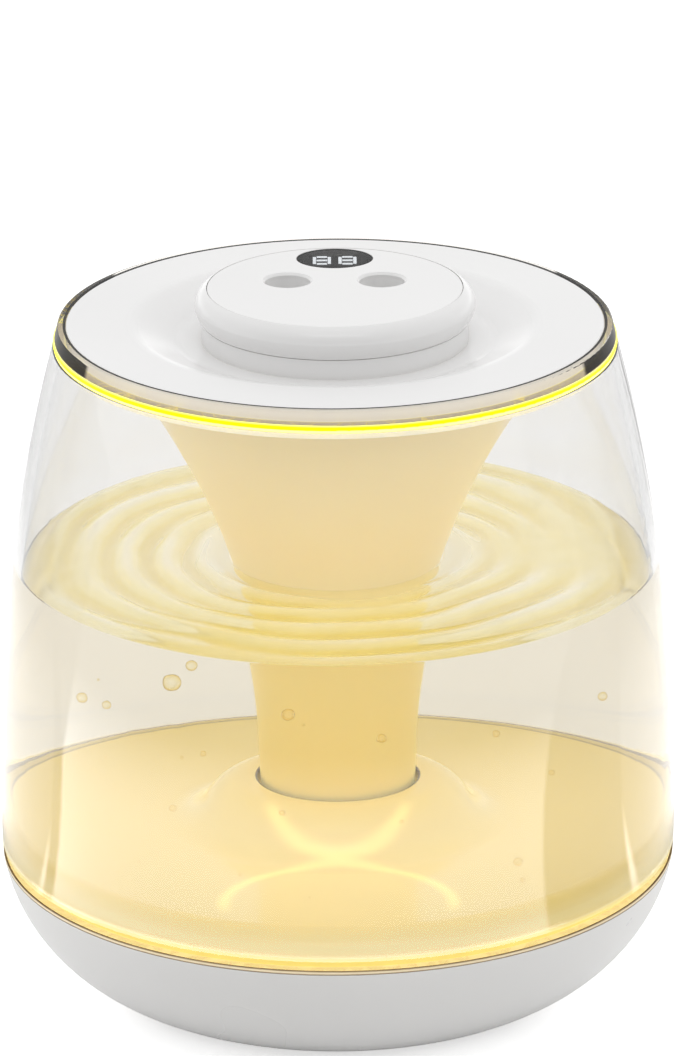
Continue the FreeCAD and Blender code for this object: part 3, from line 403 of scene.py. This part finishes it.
def rim_plastic(name):
    """The clear rim: a polished ring whose side shows a painted dark reflection where it is seen along its
    surface.
    """
    tree = Tree(name)
    low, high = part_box("rim_ring")
    skin = 0.2 * MM
    # Painted reflection: the see-through tone turns dark where the side is seen along its surface.
    dark = tree.ramp(tree.facing(0.5), [
        (0.0, (0.97, 0.95, 0.92)), (0.50, (0.97, 0.95, 0.92)), (0.52, (0.06, 0.06, 0.06)),
        (0.84, (0.03, 0.03, 0.03)), (0.93, (0.25, 0.23, 0.20)), (1.0, (0.40, 0.36, 0.30))])
    top = tree.math("GREATER_THAN", tree.axis("Z"), high.z - skin)
    # Painted shade: a dark line on the top face next to the bore.
    bore_edge_shade = tree.product(top, tree.math("LESS_THAN", tree.radius(), RIM_BORE + 4 * skin))
    hidden = tree.math("MAXIMUM", tree.math("LESS_THAN", tree.radius(), RIM_BORE + skin),
                       tree.math("LESS_THAN", tree.axis("Z"), low.z + skin))
    tone = tree.mix(tree.math("MAXIMUM", top, hidden), dark, (0.97, 0.96, 0.94))
    tone = tree.mix(bore_edge_shade, tone, (0.05, 0.05, 0.05))
    through = tree.shader("ShaderNodeBsdfTransparent", Color=tone)
    smear = tree.span(tree.noise(80, 5, 0.7), 0.3, 0.7, 0.01, 0.05)
    shine = tree.shader("ShaderNodeBsdfGlossy", Color=(0.45, 0.45, 0.45), Roughness=smear)
    return tree.finish(tree.blend(tree.sheen(0.02), through, shine))


def glowing(name, colour, strength, spread=0.08):
    """A frosted part lit from behind, a little uneven."""
    tree = Tree(name)
    uneven = tree.span(tree.noise(60, 3, 0.5), 0.3, 0.7, strength * (1 - spread), strength * (1 + spread))
    rough = tree.span(tree.noise(300, 3, 0.6), 0.3, 0.7, 0.35, 0.5)
    return tree.finish(tree.shader(
        "ShaderNodeBsdfPrincipled", Base_Color=colour, Roughness=rough, Emission_Color=colour,
        Emission_Strength=uneven))


def light_guide(name):
    """The ring of light: its edge glows, its top is pale, and a thin line glows along its bore."""
    tree = Tree(name)
    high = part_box("light_ring")[1]
    pale = (0.80, 0.72, 0.58)
    out = tree.span(tree.radius(), high.x - 0.6 * MM, high.x - 0.3 * MM, smooth=True)
    bore = tree.math("LESS_THAN", tree.radius(), RIM_BORE + 0.5 * MM)
    upper = tree.span(tree.axis("Z"), high.z - 0.5 * MM, high.z - 0.1 * MM, smooth=True)
    edge = tree.mix(tree.product(upper, 0.6), LAMP_YELLOW, (1.0, 0.98, 0.45))
    lit = tree.math("MAXIMUM", out, tree.product(bore, 0.3))
    tone = tree.mix(lit, pale, edge)
    uneven = tree.span(tree.noise(60, 3, 0.5), 0.3, 0.7, 1.0, 1.15)
    rough = tree.span(tree.noise(300, 3, 0.6), 0.3, 0.7, 0.35, 0.5)
    base = tree.mix(lit, pale, (0.5, 0.5, 0.0))
    return tree.finish(tree.shader(
        "ShaderNodeBsdfPrincipled", Base_Color=base, Roughness=rough, Specular_IOR_Level=0.1,
        Emission_Color=tone, Emission_Strength=tree.product(uneven, lit)))


def metal(name, colour, roughness=0.3):
    """Plated metal with fine drawing marks."""
    tree = Tree(name)
    marks = tree.noise(900, 3, 0.6, stretch=(1, 1, 0.15))
    base = tree.mix(tree.span(marks, 0.3, 0.7), tuple(part * 0.88 for part in colour), colour)
    rough = tree.span(tree.noise(250, 4, 0.6), 0.3, 0.7, roughness - 0.08, roughness + 0.1)
    return tree.finish(tree.shader(
        "ShaderNodeBsdfPrincipled", Base_Color=base, Metallic=1.0, Roughness=rough,
        Normal=tree.bump(marks, 0.15, 0.00003)))


def soft_rubber(name, colour, roughness=0.6):
    """Dull rubber or silicone with a fine grain."""
    tree = Tree(name)
    darker = tuple(part * 0.85 for part in colour)
    base = tree.mix(tree.span(tree.noise(130, 4, 0.6), 0.3, 0.7), darker, colour)
    rough = tree.span(tree.noise(400, 4, 0.7), 0.3, 0.7, roughness - 0.1, roughness + 0.12)
    return tree.finish(tree.shader(
        "ShaderNodeBsdfPrincipled", Base_Color=base, Roughness=rough,
        Normal=tree.bump(tree.noise(2200, 2, 0.5), 0.3, 0.00005)))


def seal_rubber(name):
    """The thin line at the tank's seam: amber, with painted shade as a darker line along both of its edges.

    Its top, which shows through the foot of the wall, is pale and has a faint painted glow.
    """
    tree = Tree(name)
    low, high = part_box("base_seal")
    up = tree.span(tree.axis("Z"), low.z, high.z)
    # Painted shade: dark bands at the bottom and top of the seal's outer side, along its edges.
    line = tree.ramp(up, [
        (0.0, (0.16, 0.10, 0.05)), (0.2, (0.30, 0.21, 0.11)), (0.36, (0.90, 0.76, 0.50)),
        (0.70, (0.90, 0.76, 0.50)), (0.85, (0.32, 0.21, 0.10)), (1.0, (0.18, 0.11, 0.05))])
    outside = tree.math("GREATER_THAN", tree.radius(), high.x - 0.6 * MM)
    line = tree.mix(outside, (0.92, 0.82, 0.55), line)
    base = tree.mix(tree.span(tree.noise(90, 2, 0.5), 0.3, 0.7, 0.0, 0.15), line, (0.8, 0.65, 0.42))
    rough = tree.span(tree.noise(300, 3, 0.6), 0.3, 0.7, 0.3, 0.45)
    # Painted light: the hidden top glows, though it is no lamp.
    glow = tree.product(tree.remainder(outside), 0.5)
    return tree.finish(tree.shader(
        "ShaderNodeBsdfPrincipled", Base_Color=base, Roughness=rough, Emission_Color=(0.95, 0.78, 0.40),
        Emission_Strength=glow))


def circuit_board(name):
    """Solder mask over faint copper tracks."""
    tree = Tree(name)
    tracks = tree.nodes.new("ShaderNodeTexBrick")
    tracks.inputs["Scale"].default_value = 240
    tracks.inputs["Mortar Size"].default_value = 0.06
    tracks.inputs["Color1"].default_value = (0.010, 0.10, 0.035, 1)
    tracks.inputs["Color2"].default_value = (0.012, 0.12, 0.045, 1)
    tracks.inputs["Mortar"].default_value = (0.03, 0.22, 0.09, 1)
    tree.link(tree.coordinates, tracks.inputs["Vector"])
    rough = tree.span(tree.noise(500, 3, 0.5), 0.3, 0.7, 0.25, 0.4)
    return tree.finish(tree.shader(
        "ShaderNodeBsdfPrincipled", Base_Color=tracks.outputs["Color"], Roughness=rough,
        Normal=tree.bump(tracks.outputs["Fac"], 0.2, 0.00005)))


def cotton(name):
    """Compressed cotton, a dense felt of fine fibres along the wick."""
    tree = Tree(name)
    fibres = tree.noise(700, 5, 0.7, stretch=(1, 1, 0.12))
    base = tree.mix(tree.span(fibres, 0.3, 0.7), (0.62, 0.58, 0.48), (0.86, 0.83, 0.74))
    damp = tree.span(tree.axis("Z"), 0.12, 0.14, 0.75, 0.95)
    return tree.finish(tree.shader(
        "ShaderNodeBsdfPrincipled", Base_Color=base, Roughness=damp, Sheen_Weight=0.3,
        Normal=tree.bump(fibres, 0.8, 0.0003)))


def smoked_window(name):
    """Dark grey gloss, see-through enough for the lit bars below."""
    tree = Tree(name)
    tone = tree.mix(tree.noise(60, 2, 0.5), (0.60, 0.60, 0.60), (0.66, 0.66, 0.66))
    through = tree.shader("ShaderNodeBsdfRefraction", Color=tone, Roughness=0.0, IOR=1.49)
    smear = tree.span(tree.noise(50, 2, 0.5), 0.3, 0.7, 0.05, 0.12)
    shine = tree.shader("ShaderNodeBsdfGlossy", Color=(0.42, 0.42, 0.42), Roughness=smear)
    grey = tree.shader("ShaderNodeBsdfDiffuse", Color=(0.03, 0.03, 0.03))
    body = tree.blend(0.15, through, grey)
    return tree.finish(tree.blend(tree.sheen(0.02), body, shine))


# ---------------------------------------------------------------- water


def water_side(name):
    """The water at the tank's wall: a warm tint. The wall itself does the bending."""
    tree = Tree(name)
    tint = tree.mix(tree.noise(12, 3, 0.5), (0.988, 0.962, 0.895), (0.982, 0.948, 0.865))
    clear = tree.shader("ShaderNodeBsdfTransparent", Color=tint)
    light = tree.shader("ShaderNodeBsdfTransparent", Color=SHADOW_TONE)
    return tree.finish(tree.blend(tree.ray("Shadow"), clear, light))


def water_touch(name):
    """Where the water touches the floor and the column: nothing but a faint warm tint."""
    tree = Tree(name)
    tint = tree.mix(tree.noise(25, 3, 0.5), (1.0, 0.99, 0.96), (1.0, 0.985, 0.94))
    return tree.finish(tree.shader("ShaderNodeBsdfTransparent", Color=tint))


def water_top(name):
    """The rippled surface: milky, with painted highlight on crests and painted yellow shade in troughs,
    clearer by the column.
    """
    tree = Tree(name)
    rise = tree.span(tree.axis("Z"), LEVEL - SWELL, LEVEL + SWELL)
    wander = tree.total(rise, tree.span(tree.noise(35, 4, 0.55), 0.3, 0.7, -0.1, 0.1))
    # Painted light: crests are coloured pale and troughs yellower, as light would fall on the ripples.
    tone = tree.ramp(wander, [
        (0.0, (0.78, 0.62, 0.04)), (0.26, (0.86, 0.72, 0.12)), (0.45, (0.93, 0.84, 0.34)),
        (0.70, (0.98, 0.92, 0.52)), (1.0, (1.0, 0.99, 0.86))])
    bend = tree.shader("ShaderNodeBsdfRefraction", Color=(1.0, 0.975, 0.88), Roughness=0.02, IOR=BEND)
    lit = tree.shader("ShaderNodeBsdfDiffuse", Color=tone)
    under = tree.shader("ShaderNodeBsdfTranslucent", Color=tone)
    # Painted light: the surface glows faintly, though it is no lamp.
    glow = tree.shader("ShaderNodeEmission", Color=tone, Strength=0.24)
    milk_and_glow = tree.nodes.new("ShaderNodeAddShader")
    tree.link(tree.blend(0.45, lit, under), milk_and_glow.inputs[0])
    tree.link(glow, milk_and_glow.inputs[1])
    away = tree.span(tree.radius(), 0.034, 0.050, 0.35, 1.0, smooth=True)
    near_wall = tree.span(tree.radius(), 0.085, 0.095, 1.0, 0.55, smooth=True)
    cover = tree.product(away, near_wall, tree.span(wander, 0.1, 0.9, 0.50, 0.66))
    shine = tree.shader("ShaderNodeBsdfGlossy", Color=(1.0, 1.0, 1.0), Roughness=0.05)
    body = tree.blend(tree.sheen(0.02), tree.blend(cover, bend, milk_and_glow.outputs[0]), shine)
    clear = tree.shader("ShaderNodeBsdfTransparent", Color=SHADOW_TONE)
    return tree.finish(tree.blend(tree.ray("Shadow"), body, clear))


def bubble_skin(name):
    """An air bubble: clear in its middle, with painted amber shade towards its edge."""
    tree = Tree(name)
    edge = tree.facing(0.35)
    # Painted shade: the see-through tone turns amber, then dark, towards the bubble's edge.
    tone = tree.ramp(edge, [
        (0.0, (1.0, 0.98, 0.90)), (0.45, (0.98, 0.92, 0.68)),
        (0.72, (0.78, 0.60, 0.20)), (1.0, (0.32, 0.20, 0.03))])
    through = tree.shader("ShaderNodeBsdfTransparent", Color=tone)
    smear = tree.span(tree.noise(900, 2, 0.5), 0.3, 0.7, 0.02, 0.06)
    shine = tree.shader("ShaderNodeBsdfGlossy", Color=(1.0, 0.98, 0.9), Roughness=smear)
    return tree.finish(tree.blend(tree.span(edge, 0.0, 1.0, 0.04, 0.35), through, shine))


def wall_inside(height):
    """The inside radius of the tank's wall, which is turned from one arc."""
    return WALL_HIGH.x - ARC + math.sqrt((ARC - WALL) ** 2 - (height - BELLY) ** 2)


def ripple(radius, angle):
    """The water's height above its level: rings that spread from the column, broken up round the circle."""
    first_crest, spacing, spread = 0.030, 0.0085, 0.06
    still_edge, fade = 0.0915, 0.004
    out = radius - first_crest
    phase = 2 * math.pi * out / (spacing + spread * out)
    place = Vector((math.cos(angle) * 1.6, math.sin(angle) * 1.6, radius * 28))
    swirl = 2.2 * noise.noise(place)
    broken = max(0.1, 0.62 + noise.noise(place * 0.8 + Vector((5, 3, 1))))
    edge = min(1.0, max(0.0, (still_edge - radius) / fade))
    near = min(1.0, max(0.0, out / fade + 0.4))
    return SWELL * math.cos(phase + swirl) * broken * edge * near


def add_object(name, mesh, *materials):
    """Makes an object of a finished mesh."""
    data = bpy.data.meshes.new(name)
    mesh.to_mesh(data)
    mesh.free()
    for material in materials:
        data.materials.append(material)
    made = bpy.data.objects.new(name, data)
    bpy.context.scene.collection.objects.link(made)
    return made


def turned_mesh(name, outline, turns, materials, slots, lift):
    """A closed ring of quads from an outline of (radius, height) points.

    Slots gives each span's material. The lift raises the points whose span has the surface's material.
    """
    mesh = bmesh.new()
    rings = []
    for index, (radius, height) in enumerate(outline):
        ring = []
        for turn in range(turns):
            angle = 2 * math.pi * turn / turns
            up = height + (lift(radius, angle) if slots[index] == SURFACE else 0.0)
            ring.append(mesh.verts.new((radius * math.cos(angle), radius * math.sin(angle), up)))
        rings.append(ring)
    for index, ring in enumerate(rings):
        following = rings[(index + 1) % len(rings)]
        for turn in range(turns):
            after = (turn + 1) % turns
            face = mesh.faces.new((ring[turn], ring[after], following[after], following[turn]))
            face.material_index = slots[index]
            face.smooth = True
    bmesh.ops.recalc_face_normals(mesh, faces=mesh.faces)
    return add_object(name, mesh, *materials)


def column_outside(height):
    """The column's outside: a straight foot, then the arc it is turned from."""
    if height <= NECK:
        return FOOT
    return COLUMN_NECK + TRUMPET - math.sqrt(TRUMPET**2 - (height - NECK) ** 2)


def floor_height(radius):
    """The tank floor's top: flat, with a mound round the well and a rounded outer edge."""
    if radius <= MOUND_CREST:
        return MOUND_TOP
    if radius < MOUND_FOOT:
        run, rise = MOUND_FOOT - MOUND_CREST, MOUND_TOP - FLOOR_FLAT
        arc = (run * run + rise * rise) / (4 * rise)
        middle = (MOUND_FOOT + MOUND_CREST) / 2
        if radius < middle:
            return MOUND_TOP - arc + math.sqrt(arc**2 - (radius - MOUND_CREST) ** 2)
        return FLOOR_FLAT + arc - math.sqrt(arc**2 - (MOUND_FOOT - radius) ** 2)
    past = radius - (FLOOR_EDGE - FLOOR_ROUND)
    if past > 0:
        return FLOOR_SIDE + math.sqrt(max(0.0, FLOOR_ROUND**2 - past**2))
    return FLOOR_FLAT


# The water's material slots: at the wall, on top, and against the floor and the column.
SIDE, SURFACE, TOUCH = 0, 1, 2


def build_water():
    """The water, turned from its outline: out along the floor, up the wall, in, and down the column."""
    outline, slots = [], []

    def add(radius, height, slot):
        outline.append((radius, height))
        slots.append(slot)

    floor_steps, wall_steps, rings, column_steps = 46, 40, 150, 24
    floor_start, floor_end = 0.0226, 0.0956
    for step in range(floor_steps):
        radius = floor_start + (floor_end - floor_start) * step / floor_steps
        add(radius, floor_height(radius) + GAP, TOUCH)
    for step in range(wall_steps + 1):
        height = WATER_FOOT + (LEVEL - WATER_FOOT) * step / wall_steps
        add(wall_inside(height) - GAP, height, SIDE if step < wall_steps else SURFACE)
    at_wall = wall_inside(LEVEL) - GAP
    at_column = column_outside(LEVEL) + GAP
    for step in range(1, rings + 1):
        add(at_wall + (at_column - at_wall) * step / rings, LEVEL, SURFACE if step < rings else TOUCH)
    low = MOUND_TOP + GAP
    for step in range(1, column_steps + 1):
        height = LEVEL + (low - LEVEL) * step / column_steps
        add(column_outside(height) + GAP, height, TOUCH)
    materials = [water_side("water_side"), water_top("water_top"), water_touch("water_touch")]
    return turned_mesh("water", outline, TURNS, materials, slots, ripple)


# Degrees round from the front, height and radius in millimetres, for each of the larger bubbles.
BUBBLE_PLACES = (
    (-32, 118, 2.7), (-28, 124, 1.7), (-54, 105, 1.7), (-47, 106, 1.4), (-9, 113, 1.9),
    (8, 106, 1.4), (-25, 99, 0.9), (-31, 81, 1.1), (-10, 84, 0.9), (30, 103, 1.1),
    (42, 87, 0.9), (57, 103, 1.5), (34, 63, 1.4), (35, 57, 0.8),
)


def build_bubbles():
    """Air bubbles just inside the front of the wall, with a few small ones scattered.

    Each is slightly flattened and uneven.
    """
    inset, flatness, dents, scattered = 0.93, 0.86, 0.12, 9
    random.seed(7)
    places = list(BUBBLE_PLACES)
    for _ in range(scattered):
        places.append((random.uniform(-55, 60), random.uniform(54, 122), random.uniform(0.35, 0.6)))
    mesh = bmesh.new()
    for round_by, height, size in places:
        turn = math.radians(round_by)
        reach = wall_inside(height * MM) * inset
        centre = Vector((reach * math.sin(turn), -reach * math.cos(turn), height * MM))
        made = bmesh.ops.create_icosphere(mesh, subdivisions=3, radius=size * MM)
        for vertex in made["verts"]:
            way = vertex.co.normalized()
            dent = 1 + dents * noise.noise(way * 1.7 + centre * 900)
            vertex.co = centre + Vector((way.x, way.y, way.z * flatness)) * size * MM * dent
    for face in mesh.faces:
        face.smooth = True
    return add_object("bubbles", mesh, bubble_skin("bubble_skin"))


# ---------------------------------------------------------------- materials on the CAD nodes


def paint(material, *nodes):
    """Gives CAD nodes one material."""
    for node in nodes:
        data = NODES[node].data
        data.materials.clear()
        data.materials.append(material)


def paint_nodes():
    """Gives every CAD node its material, except the springs, which the coils replace."""
    paint(plastic("shell_white", (0.80, 0.795, 0.785), 0.30), "base_shell", "bottom_plate")
    paint(plastic("lid_white", WHITE, 0.22, glow_from=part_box("lid_plate")[1].x - 0.7 * MM), "lid_plate")
    paint(plastic("collar_white", WHITE, 0.36), "module_collar")
    paint(plastic("cap_white", WHITE, 0.19), "cap_shell", "top_plate", "nozzle_left", "nozzle_right")
    paint(column_plastic("column_warm"), "mist_column")
    paint(plastic("tube_white", (0.8, 0.79, 0.76), 0.4), "wick_tube_left", "wick_tube_right")
    paint(plastic("strainer_grey", (0.26, 0.27, 0.28), 0.5), "foot_strainer")
    paint(floor_plastic("floor_warm"), "tank_floor")
    paint(clear_plastic("wall_clear"), "tank_wall")
    paint(rim_plastic("rim_clear"), "rim_ring")
    paint(light_guide("light_yellow"), "light_ring")
    paint(glowing("gasket_glow", (1.0, 0.9, 0.25), 1.2), "lid_gasket")
    paint(glowing("lamp_glow", (1.0, 0.9, 0.2), 4.0), "led_lamps")
    paint(soft_rubber("foot_rubber", (0.10, 0.10, 0.10)), "rubber_feet")
    paint(soft_rubber("disc_silicone", (0.72, 0.70, 0.66)), "disc_gasket_left", "disc_gasket_right")
    paint(seal_rubber("seal_amber"), "base_seal")
    paint(metal("screw_steel", (0.60, 0.60, 0.61)), "plate_screws", "module_screws", "display_screws")
    paint(metal("inlet_steel", (0.66, 0.66, 0.67), 0.24), "usb_inlet")
    paint(metal("disc_steel", (0.62, 0.62, 0.60), 0.2), "atomiser_disc_left", "atomiser_disc_right")
    paint(metal("pin_gold", (0.83, 0.62, 0.25), 0.2), "contact_pins")
    paint(circuit_board("board_green"), "driver_board", "display_board")
    paint(plastic("flex_white", (0.75, 0.75, 0.73), 0.5), "led_strip")
    paint(plastic("flex_amber", (0.45, 0.20, 0.03), 0.4), "led_ribbon")
    black = plastic("chip_black", (0.02, 0.02, 0.022), 0.45)
    paint(black, "driver_parts", "key_switches", "display_module")
    paint(glowing("segment_light", (0.92, 0.96, 1.0), 3.0), "display_segments")
    paint(smoked_window("window_smoke"), "display_window")
    paint(cotton("wick_cotton"), "wick_left", "wick_right")


# ---------------------------------------------------------------- springs


def build_spring(side, steel):
    """A coil in place of the frame's sleeve between strainer and wick, not squashed here as the wick goes
    down.
    """
    low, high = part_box(f"wick_spring_{side}")
    wire = 0.35 * MM
    centre = (low + high) / 2
    coil = (high.x - low.x) / 2 - wire
    turns, per_turn, sides = 5, 40, 10
    count = turns * per_turn + 1
    mesh = bmesh.new()
    rings = []
    for index in range(count):
        share = index / (count - 1)
        angle = 2 * math.pi * turns * share
        # The coil's ends lie flatter than its middle.
        ease = 0.5 - 0.5 * math.cos(math.pi * share)
        height = low.z + wire + (high.z - low.z - 2 * wire) * (0.25 * share + 0.75 * ease)
        out = Vector((math.cos(angle), math.sin(angle), 0))
        middle = Vector((centre.x, centre.y, height)) + out * coil
        ring = []
        for side_index in range(sides):
            turn = 2 * math.pi * side_index / sides
            around = out * math.cos(turn) + Vector((0, 0, math.sin(turn)))
            ring.append(mesh.verts.new(middle + around * wire))
        rings.append(ring)
    for first, second in zip(rings, rings[1:]):
        for index in range(sides):
            after = (index + 1) % sides
            mesh.faces.new((first[index], first[after], second[after], second[index])).smooth = True
    mesh.faces.new(list(reversed(rings[0])))
    mesh.faces.new(rings[-1])
    bmesh.ops.recalc_face_normals(mesh, faces=mesh.faces)
    made = add_object(f"coil_{side}", mesh, steel)
    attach(made, "lid")
    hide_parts(f"wick_spring_{side}")
    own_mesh(made)


# ---------------------------------------------------------------- stage, light and camera

# The studio's brightness in front, behind and above, and low down for reflections.
FRONT_LIGHT, BACK_LIGHT, TOP_LIGHT, MIRROR_LIGHT = 0.20, 1.04, 0.93, 1.5
# Darker upright stretches of the studio and of the stage, in degrees round from the front.
RIGHT_FLAG, LEFT_FLAG = (77, 118), (-121, -114)
STAGE_RIGHT_FLAG, STAGE_LEFT_FLAG = (57, 91), (-92, -87)
# How far the stage's stretches lean outwards, in radians for each metre.
STAGE_DRIFT = 0.73
# The stage's own brightness in reflections: in front, behind and in the darker stretches.
STAGE_LAMP, STAGE_BEHIND, STAGE_FLAGGED = 4.9, 1.3, 0.8
# The stage's own brightness where it is seen, and where it is seen through the tank.
STAGE_SEEN, STAGE_THROUGH = 0.55, 0.16
# The light that the stage sends to the object from in front, and from its sides and behind.
STAGE_IN_FRONT, STAGE_ASIDE = 0.10, 0.45


def stage_white():
    """The stage's surface: plain white where it is seen, with a bright patch that shows in reflections."""
    tree = Tree("stage_white")
    tone = tree.mix(tree.span(tree.noise(3, 3, 0.5), 0.3, 0.7), (0.84, 0.84, 0.84), (0.87, 0.87, 0.87))
    rough = tree.span(tree.noise(20, 3, 0.5), 0.3, 0.7, 0.5, 0.6)
    azimuth = tree.math("ARCTAN2", tree.axis("X"), tree.product(tree.axis("Y"), -1.0))
    round_by = tree.math("ABSOLUTE", azimuth)
    drift = tree.product(tree.math("SUBTRACT", tree.radius(), 0.2), STAGE_DRIFT)
    flag = tree.total(tree.band(tree.math("SUBTRACT", azimuth, drift), *STAGE_RIGHT_FLAG),
                      tree.band(tree.total(azimuth, drift), *STAGE_LEFT_FLAG))
    patch = tree.product(tree.span(tree.radius(), 0.15, 0.19, smooth=True),
                         tree.span(tree.radius(), 0.30, 0.62, 1.0, 0.12, smooth=True))
    lamp = tree.span(round_by, math.radians(92), math.radians(94), STAGE_LAMP, STAGE_BEHIND)
    mirrored = tree.math("GREATER_THAN", tree.ray("Glossy"), tree.ray("Transmission"))
    light = tree.span(round_by, math.radians(40), math.radians(80), STAGE_IN_FRONT, STAGE_ASIDE, smooth=True)
    strength = tree.total(
        tree.product(mirrored, patch, tree.choose(flag, lamp, STAGE_FLAGGED)),
        tree.product(tree.ray("Camera"), STAGE_SEEN),
        tree.product(tree.ray("Diffuse"), light),
        tree.product(tree.ray("Transmission"), STAGE_THROUGH))
    return tree.finish(tree.shader(
        "ShaderNodeBsdfPrincipled", Base_Color=tone, Roughness=rough, Specular_IOR_Level=0.2,
        Emission_Color=(1.0, 1.0, 1.0), Emission_Strength=strength))


def build_stage():
    """A wide pale floor, just under the feet."""
    reach, below = 6.0, 0.2 * MM
    mesh = bmesh.new()
    corners = ((-reach, -reach), (reach, -reach), (reach, reach), (-reach, reach))
    mesh.faces.new([mesh.verts.new((x, y, -below)) for x, y in corners])
    add_object("stage_floor", mesh, stage_white())


def build_world():
    """A white studio: bright above, behind and at the sides, dimmer in front, plain white where it is seen.

    Two upright grey flags, one at each side, break up the reflections in the tank's wall.
    """
    world = bpy.data.worlds.new("studio")
    world.use_nodes = True
    bpy.context.scene.world = world
    graph = Graph(world.node_tree)
    x, y, z = graph.split(graph.nodes.new("ShaderNodeTexCoord").outputs["Generated"])
    azimuth = graph.math("ARCTAN2", x, graph.product(y, -1.0))
    round_about = graph.span(y, -0.9, -0.05, FRONT_LIGHT, BACK_LIGHT, smooth=True)
    level = graph.choose(graph.span(z, 0.0, 0.9, smooth=True), round_about, TOP_LIGHT)
    flags = graph.total(graph.band(azimuth, *RIGHT_FLAG), graph.band(azimuth, *LEFT_FLAG))
    low_down = graph.span(z, 0.10, 0.20, 1.0, 0.0, smooth=True)
    mirrored = graph.choose(graph.product(low_down, graph.remainder(flags)), level, MIRROR_LIGHT)
    seen = graph.math("MAXIMUM", graph.ray("Camera"), graph.ray("Transmission"))
    strength = graph.choose(seen, graph.choose(graph.ray("Glossy"), level, mirrored), 1.0)
    sky = graph.nodes.new("ShaderNodeBackground")
    sky.inputs["Color"].default_value = rgba((1.0, 1.0, 1.0))
    graph.link(strength, sky.inputs["Strength"])
    output = graph.nodes.new("ShaderNodeOutputWorld")
    graph.link(sky.outputs[0], output.inputs["Surface"])


def area_light(name, place, size, power):
    """A soft white panel that faces the object's top."""
    light = bpy.data.lights.new(name, "AREA")
    light.shape = "RECTANGLE"
    light.size, light.size_y = size
    light.energy = power
    made = bpy.data.objects.new(name, light)
    bpy.context.scene.collection.objects.link(made)
    made.location = place
    made.rotation_euler = (Vector((0, 0, 0.2)) - Vector(place)).to_track_quat("-Z", "Y").to_euler()


def build_lights():
    """A wide panel above the object and a narrow one in front of it."""
    area_light("top", (0.0, -0.25, 1.4), (1.0, 1.0), 0.8)
    area_light("strip", (0.0, -0.75, 1.3), (0.9, 0.14), 1.0)


def build_camera():
    """The main view: from the front, 20 degrees up, through a long lens, and very slightly turned."""
    aim = Vector((0, 0, 0.1371))
    distance = 1.98
    pitch, roll = math.radians(20.0), math.radians(-0.35)
    data = bpy.data.cameras.new("camera")
    data.sensor_width = 36.0
    data.sensor_fit = "AUTO"
    focal_share = 6.4015
    data.lens = data.sensor_width * focal_share
    data.shift_x = 0.00303
    data.clip_start, data.clip_end = 0.05, 30
    made = bpy.data.objects.new("camera", data)
    bpy.context.scene.collection.objects.link(made)
    back = Vector((0, -math.cos(pitch), math.sin(pitch)))
    made.location = aim + back * distance
    level = (-back).to_track_quat("-Z", "Y")
    made.rotation_euler = (level @ Quaternion((0, 0, 1), roll)).to_euler()
    bpy.context.scene.camera = made


def settings():
    """Colours as they are, and enough bounces for the clear parts."""
    scene = bpy.context.scene
    scene.view_settings.view_transform = "Standard"
    scene.view_settings.look = "None"
    scene.cycles.transparent_max_bounces = 32
    scene.cycles.max_bounces = 16
    scene.cycles.transmission_bounces = 14


paint_nodes()
spring_steel = metal("spring_steel", (0.62, 0.62, 0.63), 0.25)
build_spring("left", spring_steel)
build_spring("right", spring_steel)
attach(build_water(), "base")
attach(build_bubbles(), "base")
build_stage()
build_world()
build_lights()
build_camera()
settings()
